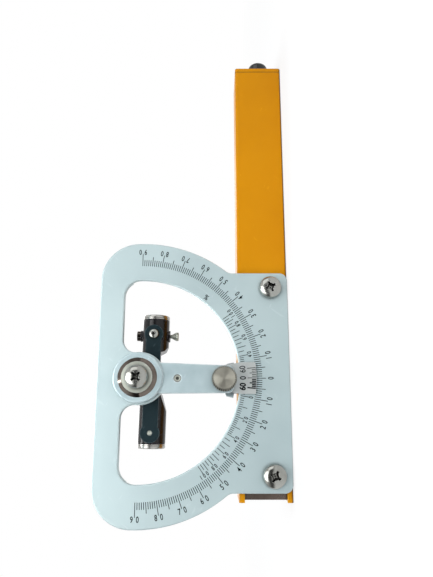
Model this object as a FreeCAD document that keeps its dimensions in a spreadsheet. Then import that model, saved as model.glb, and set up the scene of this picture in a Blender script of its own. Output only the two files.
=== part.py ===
import FreeCAD, Part

import os
import re

import Sketcher

# Abney level: a square sighting tube with an arc plate on its side, an index arm that
# turns on the plate's pivot, and a bubble that turns with the arm.
# +X runs along the tube to the eyepiece and +Z is up. The arc plate faces -Y.
# The origin is on the tube's underside, in its middle plane, straight below the pivot.
# A depth below is a distance from the middle plane of the tube towards the plate's
# side, so it counts along -Y.

doc = FreeCAD.newDocument("AbneyLevel")
sizes = doc.addObject("Spreadsheet::Sheet", "Sizes")

DRIVING_SIZES = [
    # Sighting tube and its ends
    ("tube_size", 16.0),
    ("tube_wall", 1.4),
    ("tube_corner", 0.8),
    ("tube_front", 36.0),
    ("tube_back", 108.05),
    ("prong_length", 3.0),
    ("prong_step", 0.3),
    ("view_slot_length", 13.0),
    ("view_slot_width", 6.4),
    ("cap_thickness", 1.6),
    ("cap_spigot", 5.0),
    ("cap_round", 0.4),
    # Eyepiece
    ("eyepiece_radius", 3.5),
    ("eyepiece_wall", 0.8),
    ("eyepiece_reach", 6.25),
    ("eyepiece_length", 15.9),
    ("eyepiece_drop", 0.7),
    ("eyepiece_round", 1.0),
    ("peephole_radius", 0.9),
    ("peephole_wall", 1.2),
    ("lens_thickness", 1.4),
    ("lens_curve", 4.0),
    # Objective end
    ("frame_setback", 0.7),
    ("frame_length", 4.7),
    ("frame_wall", 1.05),
    ("glass_thickness", 1.2),
    ("glass_setback", 1.7),
    ("wire_radius", 0.15),
    ("wire_setback", 3.9),
    # Mirror under the bubble
    ("mirror_thickness", 1.0),
    ("mirror_side_gap", 0.3),
    ("mirror_end_gap", 1.65),
    ("holder_end_gap", 0.7),
    ("holder_screw_height", 4.2),
    ("holder_screw_heel_inset", 2.1),
    ("holder_screw_toe_inset", 4.6),
    ("holder_screw_head", 1.7),
    ("holder_screw_head_height", 1.0),
    ("holder_screw_shank", 1.0),
    ("holder_screw_depth", 3.2),
    # Arc plate, measured from the pivot
    ("plate_thickness", 2.0),
    ("plate_ring_width", 12.3),
    ("plate_top", 13.1),
    ("plate_half_width", 33.2),
    ("plate_lift", 0.15),
    ("flange_overlap", 3.4),
    ("top_corner", 12.0),
    ("bottom_corner", 2.5),
    ("side_corner", 3.0),
    ("plate_edge_round", 0.3),
    ("window_radius", 30.8),
    ("window_top", 5.4),
    ("window_corner", 5.2),
    ("lobe_wall", 3.4),
    ("lobe_corner", 4.0),
    ("rebate_width", 1.5),
    ("rebate_depth", 1.0),
    ("rebate_top", 3.0),
    ("plate_screw_inset", 4.9),
    ("plate_screw_height", 5.6),
    ("plate_screw_head", 3.5),
    ("plate_screw_head_height", 2.6),
    ("plate_screw_shank", 1.95),
    ("plate_screw_grip", 2.9),
    # Pivot
    ("journal_radius", 3.2),
    ("bush_wall", 1.4),
    ("bush_flange_reach", 1.55),
    ("bush_flange", 1.0),
    ("axle_flange_reach", 1.2),
    ("axle_end_gap", 0.1),
    ("axle_spigot", 1.5),
    ("friction_washer_reach", 1.1),
    ("friction_washer_thickness", 0.2),
    ("boss_wall", 4.3),
    ("boss_height", 1.0),
    ("boss_round", 0.35),
    ("cone_rim_gap", 1.6),
    ("cone_taper", 1.15),
    ("cone_height", 0.95),
    ("flat_washer_inset", 0.1),
    ("flat_washer_thickness", 0.35),
    ("pivot_screw_head", 3.45),
    ("pivot_screw_head_height", 2.7),
    ("pivot_screw_shank", 1.95),
    ("pivot_screw_length", 6.6),
    # Index arm and vernier, in the arm's own direction
    ("arm_lean", 1.0),
    ("arm_thickness", 1.8),
    ("arm_root_half", 4.75),
    ("arm_tip_half", 4.05),
    ("arm_end_margin", 2.8),
    ("arm_tip_corner", 1.6),
    ("set_screw_radius", 1.1),
    ("set_screw_distance", 11.9),
    ("set_screw_sink", 0.15),
    ("vernier_thickness", 1.0),
    ("vernier_reach", 4.95),
    ("vernier_half", 4.7),
    ("vernier_shoulder_reach", 0.2),
    ("vernier_neck_half", 3.6),
    ("vernier_neck_start", 2.0),
    ("vernier_root_margin", 7.4),
    ("vernier_screw_setback", 5.7),
    ("vernier_screw_spacing", 4.0),
    ("vernier_screw_head", 1.3),
    ("vernier_screw_head_height", 0.6),
    ("vernier_screw_shank", 0.7),
    ("vernier_screw_grip", 1.3),
    # Clamp
    ("clamp_inset", 4.8),
    ("thumb_radius", 3.75),
    ("thumb_height", 4.5),
    ("thumb_chamfer", 0.25),
    ("thumb_shank", 1.5),
    ("knurl_count", 32.0),
    ("knurl_depth", 0.25),
    ("clamp_gap", 0.3),
    ("jaw_overhang", 2.0),
    ("jaw_root_margin", 3.8),
    ("jaw_root_half", 3.8),
    ("jaw_shoulder_margin", 0.4),
    ("jaw_half", 4.75),
    ("jaw_tip_half", 5.3),
    ("jaw_window_gap", 1.5),
    ("jaw_tube_gap", 0.95),
    ("jaw_corner", 0.8),
    ("lip_half", 4.0),
    ("lip_end_gap", 0.4),
    # Bubble strap, measured from the pivot in the arm's own direction
    ("strap_thickness", 1.3),
    ("strap_drop", 3.4),
    ("strap_end_radius", 2.95),
    ("strap_waist_half", 2.4),
    ("hinge_inset", 3.2),
    ("post_inset", 5.0),
    ("hinge_pin_radius", 0.75),
    ("hinge_pin_sink", 0.15),
    ("post_radius", 1.5),
    ("post_reach", 2.0),
    ("post_screw_head", 1.5),
    ("post_screw_head_height", 1.0),
    ("post_screw_shank", 0.75),
    ("post_screw_grip", 2.6),
    # Bubble housing
    ("housing_radius", 4.4),
    ("housing_half_length", 19.4),
    ("housing_gap", 0.1),
    ("window_floor", 1.2),
    ("upper_window_half", 7.5),
    ("lower_window_front", 8.4),
    ("lower_window_back", 3.0),
    ("lower_window_run", 2.6),
    ("lower_window_ramp", 7.0),
    ("lug_radius", 1.9),
    ("lug_height", 0.35),
    ("post_slot_half", 2.7),
    ("cap_end_length", 1.6),
    ("cap_end_round", 0.35),
    ("cap_recess_wall", 1.4),
    ("cap_recess_depth", 1.5),
    ("vial_radius", 2.0),
    ("vial_wall", 0.45),
    ("vial_pin_gap", 2.95),
    ("vial_post_gap", 1.4),
    ("vial_end_wall", 0.7),
    ("bubble_radius", 0.7),
    ("bubble_length", 5.0),
    # Level adjusting screw
    ("adjuster_shank", 0.6),
    ("adjuster_head", 1.4),
    ("adjuster_head_rim", 0.9),
    ("adjuster_head_cone", 1.4),
    ("adjuster_neck", 0.45),
    ("nut_radius", 1.6),
    ("nut_thickness", 1.15),
    ("nut_knurl_count", 14.0),
    ("nut_knurl_depth", 0.2),
    # Clearances
    ("running_gap", 0.05),
    ("seat_gap", 0.02),
    ("face_gap", 0.1),
    ("thread_gap", 0.05),
]

for row, (name, number) in enumerate(DRIVING_SIZES, start=1):
    sizes.set("A%d" % row, name)
    sizes.set("B%d" % row, str(number))
    sizes.setAlias("B%d" % row, name)
doc.recompute()
NAMES = {name for name, number in DRIVING_SIZES}

# Screw heads and slots, as shares of the head's radius or height
CROWN_ROUND_SHARE = 0.45
CROSS_REACH_SHARE = 0.52
CROSS_HALF_SHARE = 0.13
CROSS_DEPTH_SHARE = 0.5
SLOT_HALF_SHARE = 0.15
SLOT_DEPTH_SHARE = 0.4
# The bubble's axis rises this share of its radius toward the top of the vial
BUBBLE_RISE_SHARE = 0.85

# Depths and heights that several pieces share, as expressions of the driving sizes
HALF_TUBE = "tube_size / 2"
TUBE_AXIS = "tube_size / 2"
TUBE_BORE_HALF = "(tube_size / 2 - tube_wall)"
PLATE_BACK = "tube_size / 2"
PLATE_RADIUS = "(window_radius + plate_ring_width)"
PLATE_SCREW = "(plate_half_width - plate_screw_inset)"
PLATE_FRONT = "(tube_size / 2 + plate_thickness)"
BUSH_FRONT = f"({PLATE_FRONT} + bush_flange)"
ARM_BACK = f"({BUSH_FRONT} + face_gap)"
ARM_FRONT = f"({ARM_BACK} + arm_thickness)"
BOSS_FRONT = f"({ARM_FRONT} + boss_height)"
CONE_FRONT = f"({BOSS_FRONT} + cone_height)"
WASHER_FRONT = f"({CONE_FRONT} + flat_washer_thickness)"
VERNIER_BACK = f"({ARM_BACK} - vernier_thickness)"
STRAP_BACK = "(housing_radius + housing_gap)"
STRAP_FRONT = f"({STRAP_BACK} + strap_thickness)"
FRICTION_WASHER_BACK = f"({PLATE_BACK} - running_gap - friction_washer_thickness)"
AXLE_FLANGE_FRONT = f"({FRICTION_WASHER_BACK} - running_gap)"
AXLE_FRONT = f"({ARM_FRONT} - axle_end_gap)"
JOURNAL_HOLE = "(journal_radius + running_gap)"
BUSH_RADIUS = "(journal_radius + running_gap + bush_wall)"
LOBE_RADIUS = f"({BUSH_RADIUS} + lobe_wall)"
AXLE_FLANGE_RADIUS = "(journal_radius + axle_flange_reach)"
BOSS_RADIUS = "(journal_radius + boss_wall)"
CONE_BASE_RADIUS = f"({BOSS_RADIUS} - cone_rim_gap)"
CONE_TOP_RADIUS = f"({CONE_BASE_RADIUS} - cone_taper)"
CLAMP = "(window_radius - clamp_inset)"
JAW_TIP = "(window_radius - jaw_window_gap)"
JAW_BACK = f"({PLATE_BACK} - jaw_overhang)"
PIVOT_HEIGHT = f"(tube_size + jaw_tube_gap + {JAW_TIP})"
THUMB_BACK = f"({ARM_FRONT} + face_gap)"
HINGE = "(housing_half_length - hinge_inset)"
POST = "(housing_half_length - post_inset)"
VIAL_FRONT = f"({HINGE} - hinge_pin_radius - vial_pin_gap)"
VIAL_BACK = f"({POST} - post_radius - vial_post_gap)"
CAP_RECESS_RADIUS = "(housing_radius - cap_recess_wall)"
VIAL_AXIS = "(-strap_drop)"
HOUSING_TOP = "(-strap_drop + housing_radius + lug_height)"
HOUSING_BOTTOM = "(-strap_drop - housing_radius - lug_height)"


def full(text):
    """The expression with each size's name pointed at the sheet."""
    return re.sub(r"[a-z][a-z_]+", lambda word: "Sizes." + word[0] if word[0] in NAMES else word[0], text)


def value(text):
    return float(sizes.evalExpression(full(text)))


def new_body(label):
    body = doc.addObject("PartDesign::Body", label)
    body.Label = label
    return body


def new_sketch(body, plane, at=("0", "0"), offset="0"):
    """A sketch on one of the body's own planes, with its origin moved to a point of that plane.

    The XZ plane's normal is -Y, so there the offset is a depth.
    """
    sketch = body.newObject("Sketcher::SketchObject", body.Name + "_sketch")
    planes = {feature.Role: feature for feature in body.Origin.OriginFeatures}
    sketch.AttachmentSupport = [(planes[plane + "_Plane"], "")]
    sketch.MapMode = "FlatFace"
    for axis, text in zip("xyz", (at[0], at[1], offset)):
        sketch.setExpression("AttachmentOffset.Base." + axis, full(text))
    return sketch


def bind(sketch, kind, text, *where):
    index = sketch.addConstraint(Sketcher.Constraint(kind, *where, value(text)))
    sketch.setExpression("Constraints[%d]" % index, full(text))


def fix_point(sketch, line, end, x, y):
    bind(sketch, "DistanceX", x, -1, 1, line, end)
    bind(sketch, "DistanceY", y, -1, 1, line, end)


def draw_polygon(sketch, points):
    """A closed outline of straight lines through points given as pairs of expressions."""
    corners = [FreeCAD.Vector(value(x), value(y), 0) for x, y in points]
    count = len(corners)
    lines = [sketch.addGeometry(Part.LineSegment(corners[i], corners[(i + 1) % count])) for i in range(count)]
    for i in range(count):
        sketch.addConstraint(Sketcher.Constraint("Coincident", lines[i], 2, lines[(i + 1) % count], 1))
    for line, (x, y) in zip(lines, points):
        fix_point(sketch, line, 1, x, y)


def draw_box(sketch, low_x, high_x, low_y, high_y):
    draw_polygon(sketch, [(low_x, low_y), (high_x, low_y), (high_x, high_y), (low_x, high_y)])


def draw_square(sketch, half):
    draw_box(sketch, f"-({half})", half, f"-({half})", half)


def draw_circle(sketch, radius, x="0", y="0"):
    centre = FreeCAD.Vector(value(x), value(y), 0)
    circle = sketch.addGeometry(Part.Circle(centre, FreeCAD.Vector(0, 0, 1), value(radius)))
    bind(sketch, "Radius", radius, circle)
    fix_point(sketch, circle, 3, x, y)


def draw_arc(sketch, radius, start, end):
    """An arc about the sketch's origin from start round below the origin to end."""
    circle = Part.Circle(FreeCAD.Vector(0, 0, 0), FreeCAD.Vector(0, 0, 1), value(radius))
    arc = sketch.addGeometry(Part.ArcOfCircle(circle, circle.parameter(start), circle.parameter(end)))
    fix_point(sketch, arc, 3, "0", "0")
    bind(sketch, "Radius", radius, arc)
    return arc


def draw_cut_disc(sketch, radius, top):
    """The part of a disc about the origin that lies below a level line."""
    r, level = value(radius), value(top)
    reach = (r * r - level * level) ** 0.5
    left, right = FreeCAD.Vector(-reach, level, 0), FreeCAD.Vector(reach, level, 0)
    arc = draw_arc(sketch, radius, left, right)
    line = sketch.addGeometry(Part.LineSegment(right, left))
    sketch.addConstraint(Sketcher.Constraint("Coincident", arc, 2, line, 1))
    sketch.addConstraint(Sketcher.Constraint("Coincident", line, 2, arc, 1))
    sketch.addConstraint(Sketcher.Constraint("Horizontal", line))
    bind(sketch, "DistanceY", top, -1, 1, line, 1)


def draw_tongue(sketch, points, outer_half, outer_radius):
    """A tongue that hangs below the origin: straight sides through the points of its right
    half, from the top down, and a bottom edge that is an arc about the origin."""
    half, r = value(outer_half), value(outer_radius)
    depth = (r * r - half * half) ** 0.5
    left, right = FreeCAD.Vector(-half, -depth, 0), FreeCAD.Vector(half, -depth, 0)
    arc = draw_arc(sketch, outer_radius, left, right)
    bind(sketch, "DistanceX", outer_half, -1, 1, arc, 2)
    bind(sketch, "DistanceX", f"-({outer_half})", -1, 1, arc, 1)
    mirrored = [(f"-({x})", y) for x, y in points]
    chain = list(reversed(points)) + mirrored
    corners = [right] + [FreeCAD.Vector(value(x), value(y), 0) for x, y in chain] + [left]
    lines = [sketch.addGeometry(Part.LineSegment(a, b)) for a, b in zip(corners, corners[1:])]
    sketch.addConstraint(Sketcher.Constraint("Coincident", arc, 2, lines[0], 1))
    sketch.addConstraint(Sketcher.Constraint("Coincident", lines[-1], 2, arc, 1))
    for first, second in zip(lines, lines[1:]):
        sketch.addConstraint(Sketcher.Constraint("Coincident", first, 2, second, 1))
    for line, (x, y) in zip(lines[1:], chain):
        fix_point(sketch, line, 1, x, y)


def draw_cross(sketch, reach, half):
    """A cross for a cross-head recess, with arms of the given reach and half width."""
    a, b = reach, half
    draw_polygon(sketch, [
        (b, b), (b, a), (f"-({b})", a), (f"-({b})", b),
        (f"-({a})", b), (f"-({a})", f"-({b})"), (f"-({b})", f"-({b})"), (f"-({b})", f"-({a})"),
        (b, f"-({a})"), (b, f"-({b})"), (a, f"-({b})"), (a, b),
    ])


def pad(body, sketch, length):
    feature = body.newObject("PartDesign::Pad", body.Name + "_pad")
    feature.Profile = sketch
    feature.setExpression("Length", full(length))
    return feature


def pocket(body, sketch, length=None):
    """A cut against the sketch's normal, or both ways through everything."""
    feature = body.newObject("PartDesign::Pocket", body.Name + "_pocket")
    feature.Profile = sketch
    if length is None:
        feature.Type = "ThroughAll"
        feature.SideType = "Symmetric"
    else:
        feature.setExpression("Length", full(length))
    return feature


def revolve(body, sketch, axis):
    feature = body.newObject("PartDesign::Revolution", body.Name + "_turning")
    feature.Profile = sketch
    feature.ReferenceAxis = (sketch, [axis])
    feature.Angle = 360
    return feature


def copies_round(body, feature, sketch, count):
    """Copies of a cut spaced evenly round the axis through a sketch's origin."""
    pattern = body.newObject("PartDesign::PolarPattern", body.Name + "_pattern")
    pattern.Originals = [feature]
    pattern.Axis = (sketch, ["N_Axis"])
    pattern.Angle = 360
    pattern.setExpression("Occurrences", full(count))
    body.Tip = pattern


def dress_edges(body, kind, size, chosen):
    """A fillet or a chamfer on the edges of the body so far that the test chooses."""
    doc.recompute()
    base = body.Tip
    names = ["Edge%d" % (i + 1) for i, edge in enumerate(base.Shape.Edges) if chosen(edge)]
    if not names:
        raise ValueError("no edge chosen on " + body.Label)
    feature = body.newObject("PartDesign::" + kind, body.Name + "_" + kind.lower())
    feature.Base = (base, names)
    feature.setExpression("Radius" if kind == "Fillet" else "Size", full(size))


def along_y(edge, places):
    """Whether a straight edge runs along Y through one of the places (x, z)."""
    ends = [vertex.Point for vertex in edge.Vertexes]
    if len(ends) != 2 or abs(ends[0].x - ends[1].x) + abs(ends[0].z - ends[1].z) > 1e-4:
        return False
    return any(abs(ends[0].x - x) + abs(ends[0].z - z) < 0.05 for x, z in places)


def rim(edge, radius, depth):
    """Whether an edge is a full circle about a Y axis, with this radius and at this depth."""
    curve = edge.Curve
    if curve.TypeId != "Part::GeomCircle" or not edge.isClosed():
        return False
    return abs(curve.Radius - radius) < 1e-3 and abs(curve.Center.y + depth) < 1e-3


def disc(body, radius, back, front, x="0", z="0"):
    """A round pad about a Y axis between two depths."""
    sketch = new_sketch(body, "XZ", (x, z), back)
    draw_circle(sketch, radius)
    return pad(body, sketch, f"({front}) - ({back})")


def bore(body, radius, x="0", z="0"):
    """A round hole along Y through everything."""
    sketch = new_sketch(body, "XZ", (x, z))
    draw_circle(sketch, radius)
    return pocket(body, sketch)


def blind_bore(body, radius, mouth, depth, x="0", z="0"):
    """A round hole along Y that starts at a depth and is cut away from the plate's side."""
    sketch = new_sketch(body, "XZ", (x, z), mouth)
    draw_circle(sketch, radius)
    return pocket(body, sketch, depth)


def rear_bore(body, radius, mouth, depth, x="0", z="0"):
    """A round hole along Y that starts at a depth and is cut towards the plate's side."""
    feature = blind_bore(body, radius, mouth, depth, x, z)
    feature.Reversed = True
    return feature


def pan_screw(body, place, seat, head, head_height, shank, length, facing=1, recess_turn=45):
    """A cross-head pan screw along Y. Facing 1 puts its head on the plate's side."""
    tip = f"({seat}) - ({facing}) * ({length})"
    crown = f"({seat}) + ({facing}) * ({head_height})"
    disc(body, head, *sorted((seat, crown), key=value), *place)
    disc(body, shank, *sorted((seat, tip), key=value), *place)
    dress_edges(body, "Fillet", f"{CROWN_ROUND_SHARE} * {head_height}",
                lambda edge: rim(edge, value(head), value(crown)))
    sketch = new_sketch(body, "XZ", place, crown)
    sketch.AttachmentOffset = FreeCAD.Placement(
        sketch.AttachmentOffset.Base, FreeCAD.Rotation(FreeCAD.Vector(0, 0, 1), recess_turn))
    draw_cross(sketch, f"{CROSS_REACH_SHARE} * {head}", f"{CROSS_HALF_SHARE} * {head}")
    cut = pocket(body, sketch, f"{CROSS_DEPTH_SHARE} * {head_height}")
    cut.Reversed = facing < 0


def set_at_pivot(body, leaning=True):
    """Places a piece that is drawn about the pivot. A leaning piece turns with the arm."""
    if leaning:
        body.Placement = FreeCAD.Placement(
            FreeCAD.Vector(0, 0, 0), FreeCAD.Rotation(FreeCAD.Vector(0, 1, 0), value("arm_lean")))
        body.setExpression("Placement.Rotation.Angle", full("arm_lean"))
    body.setExpression("Placement.Base.z", full(PIVOT_HEIGHT))


def round_long_corners(body):
    """Rounds the four edges that run along the tube's outside."""
    half = value(HALF_TUBE)

    def at_corner(vertex):
        return abs(abs(vertex.Y) - half) + abs(abs(vertex.Z - half) - half) < 1e-3

    def runs_along(edge):
        return edge.tangentAt(edge.FirstParameter).x ** 2 > 0.99

    dress_edges(body, "Fillet", "tube_corner",
                lambda edge: runs_along(edge) and all(map(at_corner, edge.Vertexes)))


def sighting_tube():
    body = new_body("sighting_tube")
    sketch = new_sketch(body, "YZ", ("0", TUBE_AXIS), "-tube_front")
    draw_square(sketch, HALF_TUBE)
    draw_square(sketch, TUBE_BORE_HALF)
    pad(body, sketch, "tube_front + tube_back")
    round_long_corners(body)
    notch = new_sketch(body, "XZ")
    draw_box(notch, "-tube_front - 1", "prong_length - tube_front",
             "tube_wall + prong_step", "tube_size - tube_wall - prong_step")
    pocket(body, notch)
    slot = new_sketch(body, "XY", ("0", "0"), "tube_size")
    draw_box(slot, "-view_slot_length / 2", "view_slot_length / 2",
             "-view_slot_width / 2", "view_slot_width / 2")
    pocket(body, slot, "tube_wall + face_gap")
    for side in ("-", ""):
        place = (side + PLATE_SCREW, "plate_screw_height")
        blind_bore(body, "plate_screw_shank + thread_gap", PLATE_BACK, "tube_wall + face_gap", *place)
    for across in HOLDER_SCREWS:
        rear_bore(body, "holder_screw_shank + running_gap", f"-{HALF_TUBE}", "tube_wall + face_gap",
                  across, "holder_screw_height")


def tube_end_cap():
    body = new_body("tube_end_cap")
    plate = new_sketch(body, "YZ", ("0", TUBE_AXIS), "tube_back")
    draw_square(plate, HALF_TUBE)
    pad(body, plate, "cap_thickness")
    round_long_corners(body)
    end = value("tube_back + cap_thickness")
    dress_edges(body, "Fillet", "cap_round",
                lambda edge: all(abs(vertex.X - end) < 1e-3 for vertex in edge.Vertexes))
    spigot = new_sketch(body, "YZ", ("0", TUBE_AXIS), "tube_back - cap_spigot")
    draw_square(spigot, f"{TUBE_BORE_HALF} - seat_gap")
    pad(body, spigot, "cap_spigot")
    hole = new_sketch(body, "YZ", ("0", f"{TUBE_AXIS} - eyepiece_drop"))
    draw_circle(hole, "eyepiece_radius + running_gap")
    pocket(body, hole)


EYE_END = "(tube_back + cap_thickness + eyepiece_reach)"
EYEPIECE_BORE = "(eyepiece_radius - eyepiece_wall)"
LENS_FRONT = f"({EYE_END} - peephole_wall - 2 * face_gap)"


def eyepiece_barrel():
    body = new_body("eyepiece_barrel")
    sketch = new_sketch(body, "XZ", ("0", f"{TUBE_AXIS} - eyepiece_drop"))
    inner = f"{EYE_END} - eyepiece_length"
    draw_polygon(sketch, [
        (inner, EYEPIECE_BORE), (inner, "eyepiece_radius"), (EYE_END, "eyepiece_radius"),
        (EYE_END, "peephole_radius"), (f"{EYE_END} - peephole_wall", "peephole_radius"),
        (f"{EYE_END} - peephole_wall", EYEPIECE_BORE),
    ])
    revolve(body, sketch, "H_Axis")
    end, radius = value(EYE_END), value("eyepiece_radius")
    dress_edges(body, "Fillet", "eyepiece_round", lambda edge: edge.isClosed()
                and abs(edge.BoundBox.XMin - end) < 1e-3 and abs(edge.BoundBox.YLength - 2 * radius) < 1e-2)


def eyepiece_lens():
    cylinder = doc.addObject("Part::Cylinder", "lens_blank")
    cylinder.setExpression("Radius", full(f"{EYEPIECE_BORE} - seat_gap"))
    cylinder.setExpression("Height", full("lens_thickness + 1"))
    cylinder.Placement.Rotation = FreeCAD.Rotation(FreeCAD.Vector(0, 1, 0), 90)
    cylinder.setExpression("Placement.Base.x", full(f"{LENS_FRONT} - lens_thickness"))
    ball = doc.addObject("Part::Sphere", "lens_ball")
    ball.setExpression("Radius", full("lens_curve"))
    ball.setExpression("Placement.Base.x", full(f"{LENS_FRONT} - lens_curve"))
    for piece in (cylinder, ball):
        piece.setExpression("Placement.Base.z", full(f"{TUBE_AXIS} - eyepiece_drop"))
    lens = doc.addObject("Part::Common", "eyepiece_lens")
    lens.Label = "eyepiece_lens"
    lens.Base = cylinder
    lens.Tool = ball


FRAME_START = "(frame_setback - tube_front)"


def objective_end():
    frame = new_body("objective_frame")
    sketch = new_sketch(frame, "YZ", ("0", TUBE_AXIS), FRAME_START)
    draw_square(sketch, f"{TUBE_BORE_HALF} - seat_gap")
    draw_square(sketch, f"{TUBE_BORE_HALF} - seat_gap - frame_wall")
    pad(frame, sketch, "frame_length")
    wire_place = (f"{FRAME_START} + wire_setback", TUBE_AXIS)
    bore(frame, "wire_radius + running_gap", *wire_place)

    glass = new_body("objective_glass")
    sketch = new_sketch(glass, "YZ", ("0", TUBE_AXIS), f"{FRAME_START} + glass_setback")
    draw_square(sketch, f"{TUBE_BORE_HALF} - 2 * seat_gap - frame_wall")
    pad(glass, sketch, "glass_thickness")

    wire = new_body("index_wire")
    wire_half = f"{TUBE_BORE_HALF} - 2 * seat_gap"
    disc(wire, "wire_radius", f"-({wire_half})", wire_half, *wire_place)


# The mirror lies at 45 degrees, so its thickness sinks it by this much along and down
MIRROR_SINK = "(sqrt(0.5) * mirror_thickness)"
HOLDER_TOE = f"({TUBE_AXIS} - tube_wall - 2 * {MIRROR_SINK})"
HOLDER_HEEL = f"({TUBE_BORE_HALF} - holder_end_gap)"
HOLDER_SCREWS = (f"holder_screw_heel_inset - {HOLDER_HEEL}", f"{HOLDER_TOE} - holder_screw_toe_inset")


def mirror_and_holder():
    holder = new_body("mirror_holder")
    sketch = new_sketch(holder, "XZ", ("0", "0"), f"-{TUBE_BORE_HALF}")
    draw_polygon(sketch, [
        (HOLDER_TOE, "tube_wall"), (f"-{HOLDER_HEEL}", f"{TUBE_AXIS} + {HOLDER_HEEL} - 2 * {MIRROR_SINK}"),
        (f"-{HOLDER_HEEL}", "tube_wall"),
    ])
    pad(holder, sketch, f"{TUBE_BORE_HALF} - mirror_side_gap")
    for across in HOLDER_SCREWS:
        rear_bore(holder, "holder_screw_shank + thread_gap", f"-{TUBE_BORE_HALF}",
                  "holder_screw_depth", across, "holder_screw_height")

    mirror = new_body("mirror")
    sketch = new_sketch(mirror, "XZ", ("0", TUBE_AXIS), f"mirror_side_gap - {TUBE_BORE_HALF}")
    end = f"({TUBE_BORE_HALF} - mirror_end_gap)"
    draw_polygon(sketch, [
        (f"-{end}", end), (f"-{end} - {MIRROR_SINK}", f"{end} - {MIRROR_SINK}"),
        (f"{end} - {MIRROR_SINK}", f"-{end} - {MIRROR_SINK}"), (end, f"-{end}"),
    ])
    pad(mirror, sketch, f"{TUBE_BORE_HALF} - 2 * mirror_side_gap")

    for number, across in enumerate(HOLDER_SCREWS, start=1):
        screw = new_body("mirror_screw_%d" % number)
        pan_screw(screw, (across, "holder_screw_height"), f"-{HALF_TUBE}", "holder_screw_head",
                  "holder_screw_head_height", "holder_screw_shank",
                  "tube_wall + holder_screw_depth - face_gap", facing=-1)


def arc_plate():
    body = new_body("arc_plate")
    outline = new_sketch(body, "XZ", offset=PLATE_BACK)
    draw_cut_disc(outline, PLATE_RADIUS, "plate_top")
    pad(body, outline, "plate_thickness")
    flange = new_sketch(body, "XZ", offset=PLATE_BACK)
    low = f"plate_lift - {PIVOT_HEIGHT}"
    side_top = f"-sqrt({PLATE_RADIUS} ^ 2 - plate_half_width ^ 2)"
    draw_box(flange, "-plate_half_width", "plate_half_width", low, f"{side_top} + flange_overlap")
    pad(body, flange, "plate_thickness")
    window = new_sketch(body, "XZ")
    draw_cut_disc(window, "window_radius", "window_top")
    pocket(body, window)
    rebate = new_sketch(body, "XZ", offset=f"{PLATE_BACK} + rebate_depth")
    draw_cut_disc(rebate, "window_radius + rebate_width", "rebate_top")
    pocket(body, rebate, "rebate_depth")
    disc(body, LOBE_RADIUS, PLATE_BACK, PLATE_FRONT)
    bore(body, f"{BUSH_RADIUS} + seat_gap")
    for side in ("-", ""):
        bore(body, "plate_screw_shank + 2 * thread_gap",
             side + PLATE_SCREW, f"plate_screw_height - {PIVOT_HEIGHT}")

    def on_both_sides(x, z):
        return [(x, z), (-x, z)]

    def chord_end(radius, level):
        r, z = value(radius), value(level)
        return on_both_sides((r * r - z * z) ** 0.5, z)

    half = value("plate_half_width")
    corner_sets = [
        ("top_corner", chord_end(PLATE_RADIUS, "plate_top")),
        ("side_corner", on_both_sides(half, value(side_top))),
        ("bottom_corner", on_both_sides(half, value(low))),
        ("window_corner", chord_end("window_radius", "window_top")),
        ("lobe_corner", chord_end(LOBE_RADIUS, "window_top")),
    ]
    for size, places in corner_sets:
        dress_edges(body, "Fillet", size, lambda edge: along_y(edge, places))
    front = -value(PLATE_FRONT)
    dress_edges(body, "Fillet", "plate_edge_round", lambda edge: not edge.isClosed()
                and all(abs(vertex.Y - front) < 1e-4 for vertex in edge.Vertexes))
    set_at_pivot(body, leaning=False)


def plate_screws():
    for number, side in enumerate(("-", ""), start=1):
        screw = new_body("plate_screw_%d" % number)
        pan_screw(screw, (side + PLATE_SCREW, "plate_screw_height"), PLATE_FRONT,
                  "plate_screw_head", "plate_screw_head_height", "plate_screw_shank",
                  "plate_thickness + plate_screw_grip")


def pivot_pieces():
    bush = new_body("pivot_bush")
    disc(bush, BUSH_RADIUS, PLATE_BACK, PLATE_FRONT)
    disc(bush, f"{BUSH_RADIUS} + bush_flange_reach", PLATE_FRONT, BUSH_FRONT)
    bore(bush, JOURNAL_HOLE)
    set_at_pivot(bush, leaning=False)

    axle = new_body("pivot_axle")
    disc(axle, AXLE_FLANGE_RADIUS, STRAP_FRONT, AXLE_FLANGE_FRONT)
    disc(axle, "journal_radius", AXLE_FLANGE_FRONT, AXLE_FRONT)
    disc(axle, "axle_spigot", STRAP_BACK, STRAP_FRONT)
    blind_bore(axle, "pivot_screw_shank + thread_gap", AXLE_FRONT,
               f"pivot_screw_length + face_gap - ({WASHER_FRONT} - {AXLE_FRONT})")
    set_at_pivot(axle)

    washer = new_body("friction_washer")
    disc(washer, "journal_radius + friction_washer_reach",
         FRICTION_WASHER_BACK, f"{PLATE_BACK} - running_gap")
    bore(washer, "journal_radius + 2 * running_gap")
    set_at_pivot(washer, leaning=False)

    cone = new_body("cone_washer")
    sketch = new_sketch(cone, "YZ")
    hole = "pivot_screw_shank + face_gap"
    draw_polygon(sketch, [
        (f"-{BOSS_FRONT}", hole), (f"-{BOSS_FRONT}", CONE_BASE_RADIUS),
        (f"-{CONE_FRONT}", CONE_TOP_RADIUS), (f"-{CONE_FRONT}", hole),
    ])
    revolve(cone, sketch, "H_Axis")
    set_at_pivot(cone)

    flat = new_body("flat_washer")
    disc(flat, f"{CONE_TOP_RADIUS} - flat_washer_inset", CONE_FRONT, WASHER_FRONT)
    bore(flat, hole)
    set_at_pivot(flat)

    screw = new_body("pivot_screw")
    pan_screw(screw, ("0", "0"), WASHER_FRONT, "pivot_screw_head", "pivot_screw_head_height",
              "pivot_screw_shank", "pivot_screw_length")
    set_at_pivot(screw)


VERNIER_SCREW = f"({CLAMP} - vernier_screw_setback)"


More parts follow.
